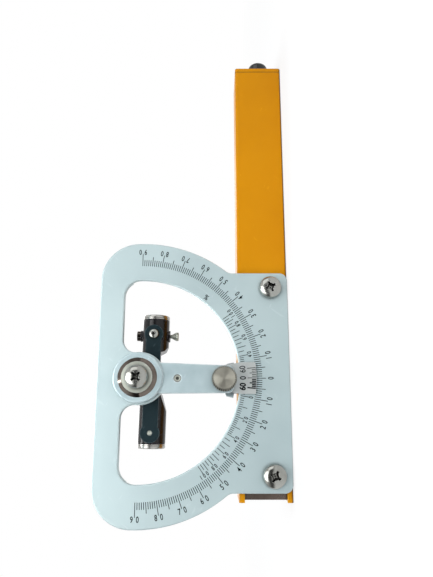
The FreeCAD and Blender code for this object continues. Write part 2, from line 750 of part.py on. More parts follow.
def index_arm():
    body = new_body("index_arm")
    disc(body, BOSS_RADIUS, ARM_BACK, BOSS_FRONT)
    boss = value(BOSS_FRONT)
    dress_edges(body, "Fillet", "boss_round", lambda edge: rim(edge, value(BOSS_RADIUS), boss))
    arm_end = f"({CLAMP} + arm_end_margin)"
    blade = new_sketch(body, "XZ", offset=ARM_BACK)
    draw_polygon(blade, [
        ("-arm_root_half", "0"), ("-arm_tip_half", f"-{arm_end}"),
        ("arm_tip_half", f"-{arm_end}"), ("arm_root_half", "0"),
    ])
    pad(body, blade, "arm_thickness")
    tip = [(side * value("arm_tip_half"), -value(arm_end)) for side in (-1, 1)]
    dress_edges(body, "Fillet", "arm_tip_corner", lambda edge: along_y(edge, tip))
    bore(body, JOURNAL_HOLE)
    bore(body, "thumb_shank + face_gap", "0", f"-{CLAMP}")
    bore(body, "set_screw_radius + thread_gap", "0", "-set_screw_distance")
    for side in ("-", ""):
        rear_bore(body, "vernier_screw_shank + thread_gap", ARM_BACK, "vernier_screw_grip",
                  f"{side}vernier_screw_spacing / 2", f"-{VERNIER_SCREW}")
    set_at_pivot(body)

    screw = new_body("arm_set_screw")
    disc(screw, "set_screw_radius", ARM_BACK, f"{ARM_FRONT} - set_screw_sink", "0", "-set_screw_distance")
    slot = new_sketch(screw, "XZ", ("0", "-set_screw_distance"), f"{ARM_FRONT} - set_screw_sink")
    draw_box(slot, "-set_screw_radius - 1", "set_screw_radius + 1", f"-{SLOT_HALF_SHARE} * set_screw_radius",
             f"{SLOT_HALF_SHARE} * set_screw_radius")
    pocket(screw, slot, f"{SLOT_DEPTH_SHARE} * set_screw_radius")
    set_at_pivot(screw)


def vernier():
    plate = new_body("vernier_plate")
    sketch = new_sketch(plate, "XZ", offset=VERNIER_BACK)
    draw_tongue(sketch, [
        ("vernier_neck_half", f"vernier_root_margin - {CLAMP}"),
        ("vernier_neck_half", f"vernier_neck_start - {CLAMP}"),
        ("vernier_half", "-window_radius - vernier_shoulder_reach"),
    ], "vernier_half", "window_radius + vernier_reach")
    pad(plate, sketch, "vernier_thickness")
    bore(plate, "thumb_shank + face_gap", f"-{CLAMP} * sin(arm_lean)", f"-{CLAMP} * cos(arm_lean)")
    set_at_pivot(plate, leaning=False)
    return plate


def clamp():
    thumb = new_body("thumb_screw")
    place = ("0", f"-{CLAMP}")
    disc(thumb, "thumb_radius", THUMB_BACK, f"{THUMB_BACK} + thumb_height", *place)
    face = value(f"{THUMB_BACK} + thumb_height")
    dress_edges(thumb, "Chamfer", "thumb_chamfer",
                lambda edge: rim(edge, value("thumb_radius"), face))
    disc(thumb, "thumb_shank", f"{JAW_BACK} + clamp_gap", THUMB_BACK, *place)
    groove = new_sketch(thumb, "XZ", place, f"{THUMB_BACK} + thumb_height")
    draw_polygon(groove, [
        ("thumb_radius - knurl_depth", "0"), ("thumb_radius + knurl_depth", "-2 * knurl_depth"),
        ("thumb_radius + knurl_depth", "2 * knurl_depth"),
    ])
    copies_round(thumb, pocket(thumb, groove, "thumb_height"), groove, "knurl_count")
    set_at_pivot(thumb)

    jaw = new_body("clamp_jaw")
    block = new_sketch(jaw, "XZ", offset=JAW_BACK)
    neck = f"jaw_root_margin - {CLAMP}"
    shoulder = f"-{CLAMP} - jaw_shoulder_margin"
    draw_tongue(block, [
        ("jaw_root_half", neck), ("jaw_root_half", shoulder), ("jaw_half", shoulder),
    ], "jaw_tip_half", JAW_TIP)
    pad(jaw, block, f"{PLATE_FRONT} - clamp_gap - {JAW_BACK}")
    corners = [(side * value("jaw_half"), value(shoulder)) for side in (-1, 1)]
    dress_edges(jaw, "Fillet", "jaw_corner", lambda edge: along_y(edge, corners))
    lip = new_sketch(jaw, "XZ", offset=f"{PLATE_BACK} + face_gap")
    draw_tongue(lip, [("lip_half", shoulder)], "lip_half", "window_radius + rebate_width - lip_end_gap")
    pad(jaw, lip, "rebate_depth - clamp_gap - face_gap")
    bore(jaw, "thumb_shank + thread_gap", *place)
    set_at_pivot(jaw)


def bubble_strap():
    strap = new_body("bubble_strap")
    hinge = (f"-{HINGE}", VIAL_AXIS)
    post = (POST, VIAL_AXIS)
    for end in (hinge, post):
        disc(strap, "strap_end_radius", STRAP_BACK, STRAP_FRONT, *end)
    disc(strap, AXLE_FLANGE_RADIUS, STRAP_BACK, STRAP_FRONT)
    waist = new_sketch(strap, "XZ", ("0", VIAL_AXIS), STRAP_BACK)
    draw_box(waist, f"-{HINGE}", POST, "-strap_waist_half", "strap_waist_half")
    pad(strap, waist, "strap_thickness")
    bore(strap, "axle_spigot + seat_gap")
    bore(strap, "hinge_pin_radius + seat_gap", *hinge)
    bore(strap, "post_screw_shank + running_gap", *post)
    set_at_pivot(strap)

    pin = new_body("vial_hinge_pin")
    disc(pin, "hinge_pin_radius", "vial_radius + 0.4", f"{STRAP_FRONT} - hinge_pin_sink", *hinge)
    set_at_pivot(pin)

    column = new_body("adjusting_post")
    disc(column, "post_radius", "-post_reach", STRAP_BACK, *post)
    blind_bore(column, "post_screw_shank + thread_gap", STRAP_BACK,
               "post_screw_grip + face_gap", *post)
    cross_hole = new_sketch(column, "XY", (POST, "0"))
    draw_circle(cross_hole, "adjuster_shank + face_gap")
    pocket(column, cross_hole)
    set_at_pivot(column)

    screw = new_body("post_screw")
    pan_screw(screw, post, STRAP_FRONT, "post_screw_head", "post_screw_head_height", "post_screw_shank",
              "strap_thickness + post_screw_grip", recess_turn=20)
    set_at_pivot(screw)


def vial_housing():
    body = new_body("vial_housing")
    barrel = new_sketch(body, "YZ", ("0", VIAL_AXIS), "-housing_half_length")
    draw_circle(barrel, "housing_radius")
    pad(body, barrel, "2 * housing_half_length")
    lug = new_sketch(body, "XY", (POST, "0"), HOUSING_BOTTOM)
    draw_circle(lug, "lug_radius")
    pad(body, lug, f"{HOUSING_TOP} - {HOUSING_BOTTOM}")
    bore_sketch = new_sketch(body, "YZ", ("0", VIAL_AXIS), f"{VIAL_BACK} + face_gap")
    draw_circle(bore_sketch, "vial_radius + seat_gap")
    pocket(body, bore_sketch, f"{VIAL_BACK} + housing_half_length + 1")
    for sign, reverse in (("-", True), ("", False)):
        recess = new_sketch(body, "YZ", ("0", VIAL_AXIS), f"{sign}housing_half_length")
        draw_circle(recess, CAP_RECESS_RADIUS)
        pocket(body, recess, "cap_recess_depth").Reversed = reverse
    above = new_sketch(body, "XZ", ("0", VIAL_AXIS))
    draw_polygon(above, [
        ("window_floor - upper_window_half", "window_floor"),
        ("upper_window_half - window_floor", "window_floor"),
        ("upper_window_half", "housing_radius + 1"), ("-upper_window_half", "housing_radius + 1"),
    ])
    pocket(body, above)
    # The lower opening flares toward both ends, in two straight runs on each side
    below = new_sketch(body, "XZ", ("0", VIAL_AXIS))
    draw_polygon(below, [
        ("-lower_window_back", "-window_floor"), ("lower_window_front", "-window_floor"),
        ("lower_window_front + 0.35 * lower_window_run", "-0.78 * housing_radius"),
        ("lower_window_front + lower_window_run", "-housing_radius - 0.1"),
        ("lower_window_front + lower_window_run", "-housing_radius - 1"),
        ("-lower_window_back - lower_window_ramp", "-housing_radius - 1"),
        ("-lower_window_back - lower_window_ramp", "-housing_radius - 0.1"),
        ("-lower_window_back - 0.2 * lower_window_ramp", "-0.6 * housing_radius"),
    ])
    pocket(body, below)
    entry = new_sketch(body, "XZ", (POST, VIAL_AXIS), STRAP_BACK)
    across = "post_radius + face_gap"
    draw_box(entry, f"-({across})", across, "-post_slot_half", "post_slot_half")
    pocket(body, entry, f"{STRAP_BACK} + post_reach + face_gap")
    through = new_sketch(body, "XY", (POST, "0"))
    draw_circle(through, "adjuster_shank + running_gap")
    pocket(body, through)
    blind_bore(body, "hinge_pin_radius + running_gap", STRAP_BACK, f"{STRAP_BACK} - vial_radius - 0.3",
               f"-{HINGE}", VIAL_AXIS)
    set_at_pivot(body)


def vial_caps():
    for number, sign in enumerate(("-", ""), start=1):
        cap = new_body("vial_cap_%d" % number)
        sketch = new_sketch(cap, "XZ", ("0", VIAL_AXIS))
        face, outer = f"{sign}housing_half_length", f"{sign}(housing_half_length + cap_end_length)"
        inner = f"{sign}(housing_half_length - cap_recess_depth + face_gap)"
        draw_polygon(sketch, [
            (outer, "0"), (outer, "housing_radius"), (face, "housing_radius"),
            (face, f"{CAP_RECESS_RADIUS} - seat_gap"), (inner, f"{CAP_RECESS_RADIUS} - seat_gap"),
            (inner, "0"),
        ])
        revolve(cap, sketch, "H_Axis")
        end = value(outer)
        dress_edges(cap, "Fillet", "cap_end_round",
                    lambda edge: edge.isClosed() and abs(edge.BoundBox.XMin - end) < 1e-3)
        set_at_pivot(cap)


def vial():
    glass = new_body("vial_glass")
    shell = new_sketch(glass, "XZ", ("0", VIAL_AXIS))
    front, back = f"-{VIAL_FRONT}", VIAL_BACK
    draw_polygon(shell, [(front, "0"), (front, "vial_radius"), (back, "vial_radius"), (back, "0")])
    revolve(glass, shell, "H_Axis")
    hollow = new_sketch(glass, "XZ", ("0", VIAL_AXIS))
    ends = (f"vial_end_wall - {VIAL_FRONT}", f"{VIAL_BACK} - vial_end_wall")
    draw_polygon(hollow, [
        (ends[0], "0"), (ends[0], "vial_radius - vial_wall"),
        (ends[1], "vial_radius - vial_wall"), (ends[1], "0"),
    ])
    groove = glass.newObject("PartDesign::Groove", "vial_glass_groove")
    groove.Profile = hollow
    groove.ReferenceAxis = (hollow, ["H_Axis"])
    groove.Angle = 360
    set_at_pivot(glass)

    liquid = new_body("vial_liquid")
    filling = new_sketch(liquid, "XZ", ("0", VIAL_AXIS))
    radius = "vial_radius - vial_wall - seat_gap"
    low, high = f"{ends[0]} + seat_gap", f"{ends[1]} - seat_gap"
    draw_polygon(filling, [(low, "0"), (low, radius), (high, radius), (high, "0")])
    revolve(liquid, filling, "H_Axis")
    bubble = new_sketch(liquid, "XZ", ("0", f"{VIAL_AXIS} + {radius} - {BUBBLE_RISE_SHARE} * bubble_radius"))
    draw_polygon(bubble, [
        ("-bubble_length / 2", "0"), ("bubble_radius - bubble_length / 2", "bubble_radius"),
        ("bubble_length / 2 - bubble_radius", "bubble_radius"), ("bubble_length / 2", "0"),
    ])
    groove = liquid.newObject("PartDesign::Groove", "vial_liquid_groove")
    groove.Profile = bubble
    groove.ReferenceAxis = (bubble, ["H_Axis"])
    groove.Angle = 360
    set_at_pivot(liquid)


def level_adjuster():
    screw = new_body("adjusting_screw")
    sketch = new_sketch(screw, "XZ", (POST, "0"))
    cone_top = f"{HOUSING_BOTTOM} - adjuster_neck"
    cone_foot = f"{cone_top} - adjuster_head_cone"
    top = f"{HOUSING_TOP} + face_gap + nut_thickness"
    draw_polygon(sketch, [
        ("0", top), ("adjuster_shank", top), ("adjuster_shank", cone_top), ("adjuster_head", cone_foot),
        ("adjuster_head", f"{cone_foot} - adjuster_head_rim"), ("0", f"{cone_foot} - adjuster_head_rim"),
    ])
    revolve(screw, sketch, "V_Axis")
    set_at_pivot(screw)

    nut = new_body("adjusting_nut")
    seat = f"{HOUSING_TOP} + face_gap"
    ring = new_sketch(nut, "XY", (POST, "0"), seat)
    draw_circle(ring, "nut_radius")
    draw_circle(ring, "adjuster_shank + seat_gap")
    pad(nut, ring, "nut_thickness")
    notch = new_sketch(nut, "XY", (POST, "0"), f"{seat} + nut_thickness")
    draw_polygon(notch, [
        ("nut_radius - nut_knurl_depth", "0"), ("nut_radius + nut_knurl_depth", "-2 * nut_knurl_depth"),
        ("nut_radius + nut_knurl_depth", "2 * nut_knurl_depth"),
    ])
    copies_round(nut, pocket(nut, notch, "nut_thickness"), notch, "nut_knurl_count")
    set_at_pivot(nut)


def vernier_screws(plate):
    """The screws join the vernier plate to the arm from behind, so the plate has their seats."""
    for number, side in enumerate(("-", ""), start=1):
        place = (f"{side}vernier_screw_spacing / 2", f"-{VERNIER_SCREW}")
        screw = new_body("vernier_screw_%d" % number)
        seat = f"({VERNIER_BACK} + vernier_screw_head_height)"
        disc(screw, "vernier_screw_head", VERNIER_BACK, seat, *place)
        disc(screw, "vernier_screw_shank", seat, f"{ARM_BACK} + vernier_screw_grip - face_gap", *place)
        set_at_pivot(screw)
        lean_x = f"{place[0]} * cos(arm_lean) - {VERNIER_SCREW} * sin(arm_lean)"
        lean_z = f"-{place[0]} * sin(arm_lean) - {VERNIER_SCREW} * cos(arm_lean)"
        rear_bore(plate, "vernier_screw_head + running_gap", VERNIER_BACK,
                  "vernier_screw_head_height", lean_x, lean_z)
        bore(plate, "vernier_screw_shank + running_gap", lean_x, lean_z)


sighting_tube()
tube_end_cap()
eyepiece_barrel()
eyepiece_lens()
objective_end()
mirror_and_holder()
arc_plate()
plate_screws()
pivot_pieces()
index_arm()
vernier_screws(vernier())
clamp()
bubble_strap()
vial_housing()
vial_caps()
vial()
level_adjuster()
doc.recompute()

# A pocket or groove that misses its solid leaves the volume as it was
for item in doc.Objects:
    if "Invalid" in item.State or "Error" in item.State:
        raise ValueError("failed object " + item.Label)
    if item.TypeId in ("PartDesign::Pocket", "PartDesign::Groove"):
        if abs(item.BaseFeature.Shape.Volume - item.Shape.Volume) < 1e-6:
            raise ValueError("cut without effect on " + item.Label)

os.makedirs("parts", exist_ok=True)
pieces = [item for item in doc.Objects if item.TypeId == "PartDesign::Body" or item.Name == "eyepiece_lens"]
for piece in pieces:
    if piece.Shape.isNull() or not piece.Shape.isValid():
        raise ValueError("bad shape on " + piece.Label)
for piece in pieces:
    piece.Shape.exportStep("parts/%s.step" % piece.Label)
print(len(pieces), "pieces")
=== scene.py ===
"""Abney level: the finishes, screws, dials and studio that dress the CAD model."""

import math

import bmesh
import bpy
from mathutils import Matrix, Vector


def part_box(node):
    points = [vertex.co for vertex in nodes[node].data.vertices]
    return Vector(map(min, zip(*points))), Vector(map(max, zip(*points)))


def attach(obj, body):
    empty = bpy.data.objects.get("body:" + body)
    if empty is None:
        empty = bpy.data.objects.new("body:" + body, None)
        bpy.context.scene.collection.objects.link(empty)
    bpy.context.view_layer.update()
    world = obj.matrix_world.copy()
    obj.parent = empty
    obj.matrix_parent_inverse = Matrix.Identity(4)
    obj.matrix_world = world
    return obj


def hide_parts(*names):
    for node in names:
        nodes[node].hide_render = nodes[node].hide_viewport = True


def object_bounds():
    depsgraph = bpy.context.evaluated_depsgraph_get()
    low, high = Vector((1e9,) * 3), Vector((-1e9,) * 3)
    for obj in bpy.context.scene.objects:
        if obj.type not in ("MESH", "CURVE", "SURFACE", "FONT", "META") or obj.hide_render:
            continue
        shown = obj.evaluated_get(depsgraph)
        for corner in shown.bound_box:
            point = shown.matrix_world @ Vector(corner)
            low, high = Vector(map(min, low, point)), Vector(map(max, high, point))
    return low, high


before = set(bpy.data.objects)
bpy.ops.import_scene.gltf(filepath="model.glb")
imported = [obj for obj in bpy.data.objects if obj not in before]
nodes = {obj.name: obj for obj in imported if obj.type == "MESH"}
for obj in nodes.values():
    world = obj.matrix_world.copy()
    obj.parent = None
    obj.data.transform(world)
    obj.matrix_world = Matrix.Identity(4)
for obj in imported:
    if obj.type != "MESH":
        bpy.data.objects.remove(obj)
cad_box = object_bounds()

# Lengths are in millimetres unless a comment says otherwise
MM = 0.001
PIVOT_HEIGHT = 46.25
PLATE_FRONT = -10.0
VERNIER_FRONT = -11.1
VIAL_DROP = 3.4
POST_ALONG = 14.4
HOUSING_HALF_LENGTH = 19.4
MARK_THICKNESS = 0.016
MARK_RISE = 0.006
ARM_LEAN = math.radians(1.0)
SLOPE_ZERO = math.radians(9.6)
FACING_FRONT = Matrix.Rotation(math.pi / 2, 4, "X")


def tone(red, green, blue):
    """A colour given as 0 to 255, in the linear values that shaders take."""
    def linear(part):
        part = part / 255
        return part / 12.92 if part <= 0.04045 else ((part + 0.055) / 1.055) ** 2.4

    return (linear(red), linear(green), linear(blue), 1.0)


# Near-black colour of the painted shade in recesses, joints and near other parts
SHADE_GRIME_TONE = tone(16, 15, 14)
JOINT_TONE = tone(60, 32, 4)
JOINT_CORE, JOINT_RIM = 0.00008, 0.0002  # metres to each side of the joint line
JOINT_SHARE = 0.75


# Node groups: effects that several finishes share

def new_group(name, inputs, outputs):
    """An empty node group with its sockets, and the wiring to fill it."""
    group = bpy.data.node_groups.new(name, "ShaderNodeTree")
    for label, kind, default in inputs:
        socket = group.interface.new_socket(label, in_out="INPUT", socket_type=kind)
        socket.default_value = default
    for label, kind in outputs:
        group.interface.new_socket(label, in_out="OUTPUT", socket_type=kind)
    return group, Wiring(group.nodes, group.links)


class Wiring:
    """Places nodes in a tree, sets their values and links them."""

    def __init__(self, shelf, links):
        self.shelf, self.links = shelf, links

    def put(self, socket, given):
        """Links the output that is given to the socket, or sets the plain value that is given."""
        if isinstance(given, bpy.types.NodeSocket):
            self.links.new(given, socket)
        else:
            socket.default_value = given

    def node(self, kind, values=(), **settings):
        made = self.shelf.new(kind if kind.startswith("Node") else "ShaderNode" + kind)
        for key, setting in settings.items():
            setattr(made, key, setting)
        for key, given in dict(values).items():
            self.put(made.inputs[key], given)
        return made

    def placed(self, group, values):
        return self.node("Group", values, node_tree=group).outputs

    def here(self):
        return self.node("TexCoord").outputs["Object"]

    def math(self, operation, first, second=0.5, clamp=False):
        return self.node("Math", {0: first, 1: second}, operation=operation, use_clamp=clamp).outputs[0]

    def noise(self, place, scale, detail=4.0, roughness=0.55):
        return self.node("TexNoise", {"Vector": place, "Scale": scale, "Detail": detail,
                                      "Roughness": roughness}).outputs["Fac"]

    def spread(self, given, low, high, to_low=0.0, to_high=1.0):
        return self.node("MapRange", {"Value": given, "From Min": low, "From Max": high,
                                      "To Min": to_low, "To Max": to_high}).outputs["Result"]

    def blend(self, share, first, second):
        made = self.node("Mix", data_type="RGBA")
        for slot, given in ((0, share), (6, first), (7, second)):
            self.put(made.inputs[slot], given)
        return made.outputs[2]


def finish_group():
    """Uneven finish: broad mottling in colour and roughness, and a fine grain in height."""
    group, wire = new_group("uneven_finish", [
        ("Broad Scale", "NodeSocketFloat", 60.0), ("Grain Scale", "NodeSocketFloat", 2500.0),
        ("Roughness", "NodeSocketFloat", 0.4), ("Roughness Spread", "NodeSocketFloat", 0.1),
    ], [("Mottle", "NodeSocketFloat"), ("Roughness", "NodeSocketFloat"), ("Height", "NodeSocketFloat")])
    given = wire.node("NodeGroupInput").outputs
    place = wire.here()
    broad = wire.noise(place, given["Broad Scale"])
    grain = wire.noise(place, given["Grain Scale"], 2.0)
    mottle = wire.spread(broad, 0.3, 0.7)
    both = wire.math("ADD", wire.math("MULTIPLY", mottle, 0.7), wire.math("MULTIPLY", grain, 0.3))
    shift = wire.math("MULTIPLY", wire.math("SUBTRACT", both, 0.5), given["Roughness Spread"])
    rough = wire.math("ADD", given["Roughness"], shift, clamp=True)
    wire.node("NodeGroupOutput", {"Mottle": mottle, "Roughness": rough, "Height": grain})
    return group


def edge_group():
    """Edge wear and painted highlight: a mask along sharp edges, broken up by noise, that takes the edge
    tone, and a normal that rounds them.
    """
    group, wire = new_group("edge_wear_and_highlight", [
        ("Width", "NodeSocketFloat", 0.0003), ("Break-up Scale", "NodeSocketFloat", 900.0),
        ("Least", "NodeSocketFloat", 0.35),
    ], [("Mask", "NodeSocketFloat"), ("Normal", "NodeSocketVector")])
    given = wire.node("NodeGroupInput").outputs
    soft = wire.node("Bevel", {"Radius": given["Width"]}, samples=6).outputs["Normal"]
    flat = wire.node("NewGeometry").outputs["Normal"]
    along = wire.node("VectorMath", {0: soft, 1: flat}, operation="DOT_PRODUCT").outputs["Value"]
    edge = wire.spread(along, 0.995, 0.86)
    place = wire.here()
    broken = wire.spread(wire.noise(place, given["Break-up Scale"]), 0.35, 0.6, given["Least"])
    wire.node("NodeGroupOutput", {"Mask": wire.math("MULTIPLY", edge, broken, clamp=True), "Normal": soft})
    return group


def turned_group():
    """Turned metal: fine rings round an axis, uneven from ring to ring."""
    group, wire = new_group("turned_rings", [
        ("Place", "NodeSocketVector", (0.0, 0.0, 0.0)), ("Ring Scale", "NodeSocketFloat", 9000.0),
    ], [("Streak", "NodeSocketFloat")])
    given = wire.node("NodeGroupInput").outputs
    flat = wire.node("VectorMath", {0: given["Place"], 1: (1.0, 1.0, 0.0)},
                     operation="MULTIPLY").outputs[0]
    reach = wire.node("VectorMath", {0: flat}, operation="LENGTH").outputs["Value"]
    line = wire.node("CombineXYZ", {"X": reach}).outputs[0]
    streak = wire.noise(line, given["Ring Scale"], 3.0, 0.7)
    wire.node("NodeGroupOutput", {"Streak": streak})
    return group


def brushed_group():
    """Brushed metal: long fine scratches across the piece."""
    group, wire = new_group("brushed_lines", [
        ("Place", "NodeSocketVector", (0.0, 0.0, 0.0)), ("Line Scale", "NodeSocketFloat", 6000.0),
    ], [("Height", "NodeSocketFloat"), ("Streak", "NodeSocketFloat")])
    given = wire.node("NodeGroupInput").outputs
    long = wire.node("VectorMath", {0: given["Place"], 1: (0.02, 1.0, 1.0)},
                     operation="MULTIPLY").outputs[0]
    fine = wire.noise(long, given["Line Scale"], 3.0, 0.65)
    wide = wire.noise(long, wire.math("MULTIPLY", given["Line Scale"], 0.12), 2.0)
    streak = wire.math("ADD", wire.math("MULTIPLY", fine, 0.6), wire.math("MULTIPLY", wide, 0.4))
    wire.node("NodeGroupOutput", {"Height": fine, "Streak": streak})
    return group


def cavity_group():
    """Painted shade: a mask that darkens recesses, joints and the surface near other parts, where shade
    falls, made patchy like dirt.
    """
    group, wire = new_group("cavity_shade_and_grime", [
        ("Reach", "NodeSocketFloat", 0.0008), ("Amount", "NodeSocketFloat", 0.8),
    ], [("Mask", "NodeSocketFloat")])
    given = wire.node("NodeGroupInput").outputs
    # Ambient occlusion: the surface darkens where other surfaces are close, as shade falls there
    open_share = wire.node("AmbientOcclusion", {"Distance": given["Reach"]}, samples=8).outputs["AO"]
    closed = wire.spread(open_share, 0.92, 0.3)
    patchy = wire.spread(wire.noise(wire.here(), 1400.0), 0.3, 0.6, 0.75)
    amount = wire.math("MULTIPLY", patchy, given["Amount"])
    wire.node("NodeGroupOutput", {"Mask": wire.math("MULTIPLY", closed, amount, clamp=True)})
    return group


def scratch_group():
    """Handling marks: a few fine scratches, gathered in patches."""
    group, wire = new_group("handling_scratches", [
        ("Line Scale", "NodeSocketFloat", 1100.0), ("Patch Scale", "NodeSocketFloat", 130.0),
        ("Amount", "NodeSocketFloat", 0.3),
    ], [("Mask", "NodeSocketFloat")])
    given = wire.node("NodeGroupInput").outputs
    place = wire.here()
    masks = []
    for turn in ((0.2, 0.5, 0.3), (0.1, -0.9, 0.2)):
        turned = wire.node("Mapping", {"Vector": place, "Rotation": turn, "Scale": (12.0, 1.0, 1.0)},
                           vector_type="TEXTURE").outputs[0]
        masks.append(wire.spread(wire.noise(turned, given["Line Scale"], 1.0), 0.7, 0.75))
    lines = wire.math("MAXIMUM", *masks)
    patch = wire.spread(wire.noise(place, given["Patch Scale"], 2.0), 0.5, 0.62)
    seen = wire.math("MULTIPLY", lines, patch)
    wire.node("NodeGroupOutput", {"Mask": wire.math("MULTIPLY", seen, given["Amount"], clamp=True)})
    return group


UNEVEN, EDGE_WEAR_HIGHLIGHT, SCRATCHED = finish_group(), edge_group(), scratch_group()
TURNED, BRUSHED, SHADE_AND_GRIME = turned_group(), brushed_group(), cavity_group()


def new_finish(name, **fixed):
    """A material with its Principled shader, whose plain values are set on its own sockets."""
    material = bpy.data.materials.new(name)
    material.use_nodes = True
    tree = material.node_tree
    shader = tree.nodes["Principled BSDF"]
    for key, given in fixed.items():
        shader.inputs[key.replace("_", " ")].default_value = given
    return material, Wiring(tree.nodes, tree.links), shader


def bump(wire, shader, height, depth, **under):
    """Relief of a depth in metres, over the normal of another effect where one is given."""
    made = wire.node("Bump", {"Height": height, "Distance": depth, "Strength": 1.0, **under})
    wire.links.new(made.outputs["Normal"], shader.inputs["Normal"])


def coloured(wire, shader, body, worn_and_lit=None, edge=None, shade_grime=0.8, reach=0.0008, joint=None):
    """Joins the body colour, its edges in their edge tone (partly wear, partly a painted highlight), a dark
    joint line across the tube, and painted shade in recesses and near other parts.
    """
    if worn_and_lit is not None:
        body = wire.blend(worn_and_lit, body, edge)
    if joint is not None:
        along = wire.node("SeparateXYZ", {0: wire.here()}).outputs["X"]
        away = wire.math("ABSOLUTE", wire.math("SUBTRACT", along, joint))
        body = wire.blend(wire.spread(away, JOINT_CORE, JOINT_RIM, JOINT_SHARE, 0.0), body, JOINT_TONE)
    # Painted shade: darkens the colour in recesses and near other parts
    mask = wire.placed(SHADE_AND_GRIME, {"Reach": reach, "Amount": shade_grime})["Mask"]
    wire.links.new(wire.blend(mask, body, SHADE_GRIME_TONE), shader.inputs["Base Color"])


def painted(name, light, dark, edge, roughness, grain=1600.0, depth=0.000004, width=0.0003,
            least=0.35, broad=45.0, shade_grime=0.7, reach=0.0008, scratches=0.3, joint=None, **fixed):
    """Paint or enamel: mottled between two tones, paler along the edges, partly as wear and partly as a
    painted highlight.
    """
    material, wire, shader = new_finish(name, **fixed)
    even = wire.placed(UNEVEN, {"Broad Scale": broad, "Grain Scale": grain,
                                "Roughness": roughness, "Roughness Spread": 0.12})
    # Edge tone along the edges: partly wear, partly a painted highlight
    worn_and_lit = wire.placed(EDGE_WEAR_HIGHLIGHT, {"Width": width, "Least": least})
    marks = wire.placed(SCRATCHED, {"Amount": scratches})["Mask"]
    body = wire.blend(marks, wire.blend(even["Mottle"], dark, light), edge)
    coloured(wire, shader, body, worn_and_lit["Mask"], edge, shade_grime, reach, joint)
    wire.links.new(even["Roughness"], shader.inputs["Roughness"])
    bump(wire, shader, even["Height"], depth, Normal=worn_and_lit["Normal"])
    return material


def brushed(name, light, dark, edge, roughness, lines=6000.0, depth=0.000006, width=0.00025,
            shade_grime=0.8, **fixed):
    """Plated or bare metal with brush lines in one direction."""
    material, wire, shader = new_finish(name, **fixed)
    lined = wire.placed(BRUSHED, {"Place": wire.here(), "Line Scale": lines})
    even = wire.placed(UNEVEN, {"Broad Scale": 120.0, "Grain Scale": 4000.0,
                                "Roughness": roughness, "Roughness Spread": 0.18})
    # Edge tone along the edges: partly wear, partly a painted highlight
    worn_and_lit = wire.placed(EDGE_WEAR_HIGHLIGHT, {"Width": width, "Least": 0.5})
    share = wire.math("ADD", wire.math("MULTIPLY", lined["Streak"], 0.5),
                      wire.math("MULTIPLY", even["Mottle"], 0.5))
    body = wire.blend(share, dark, light)
    coloured(wire, shader, body, worn_and_lit["Mask"], edge, shade_grime)
    wire.links.new(even["Roughness"], shader.inputs["Roughness"])
    bump(wire, shader, lined["Height"], depth, Normal=worn_and_lit["Normal"])
    return material


def turned(name, light, dark, centre, roughness, face=(math.pi / 2, 0.0, 0.0), rings=9000.0,
           depth=0.000008, shade_grime=0.8, reach=0.0008, **fixed):
    """Turned metal whose rings run round an axis through the centre, given in millimetres."""
    material, wire, shader = new_finish(name, **fixed)
    moved = wire.node("VectorMath", {0: wire.here(), 1: [part * MM for part in centre]},
                      operation="SUBTRACT").outputs[0]
    faced = wire.node("Mapping", {"Vector": moved, "Rotation": face}).outputs[0]
    ringed = wire.placed(TURNED, {"Place": faced, "Ring Scale": rings})
    even = wire.placed(UNEVEN, {"Broad Scale": 300.0, "Grain Scale": 5000.0,
                                "Roughness": roughness, "Roughness Spread": 0.1})
    share = wire.math("ADD", wire.math("MULTIPLY", ringed["Streak"], 0.6),
                      wire.math("MULTIPLY", even["Mottle"], 0.4))
    coloured(wire, shader, wire.blend(share, dark, light), shade_grime=shade_grime, reach=reach)
    wire.links.new(even["Roughness"], shader.inputs["Roughness"])
    bump(wire, shader, ringed["Streak"], depth)
    if "Anisotropic" in fixed:
        round_axis = wire.node("Tangent", direction_type="RADIAL", axis="Y")
        wire.links.new(round_axis.outputs["Tangent"], shader.inputs["Tangent"])
    return material


def clear(name, colour, roughness, index):
    """Glass or spirit: faint smears in the roughness, plain transmission."""
    material, wire, shader = new_finish(name, Base_Color=colour, Transmission_Weight=1.0, IOR=index)
    even = wire.placed(UNEVEN, {"Broad Scale": 200.0, "Grain Scale": 2000.0,
                                "Roughness": roughness, "Roughness Spread": 0.03})
    wire.links.new(even["Roughness"], shader.inputs["Roughness"])
    return material


PIVOT = (0.0, 0.0, PIVOT_HEIGHT)
THUMB = (-0.454, 0.0, 20.254)
CAPS = (0.0, 0.0, PIVOT_HEIGHT - VIAL_DROP)
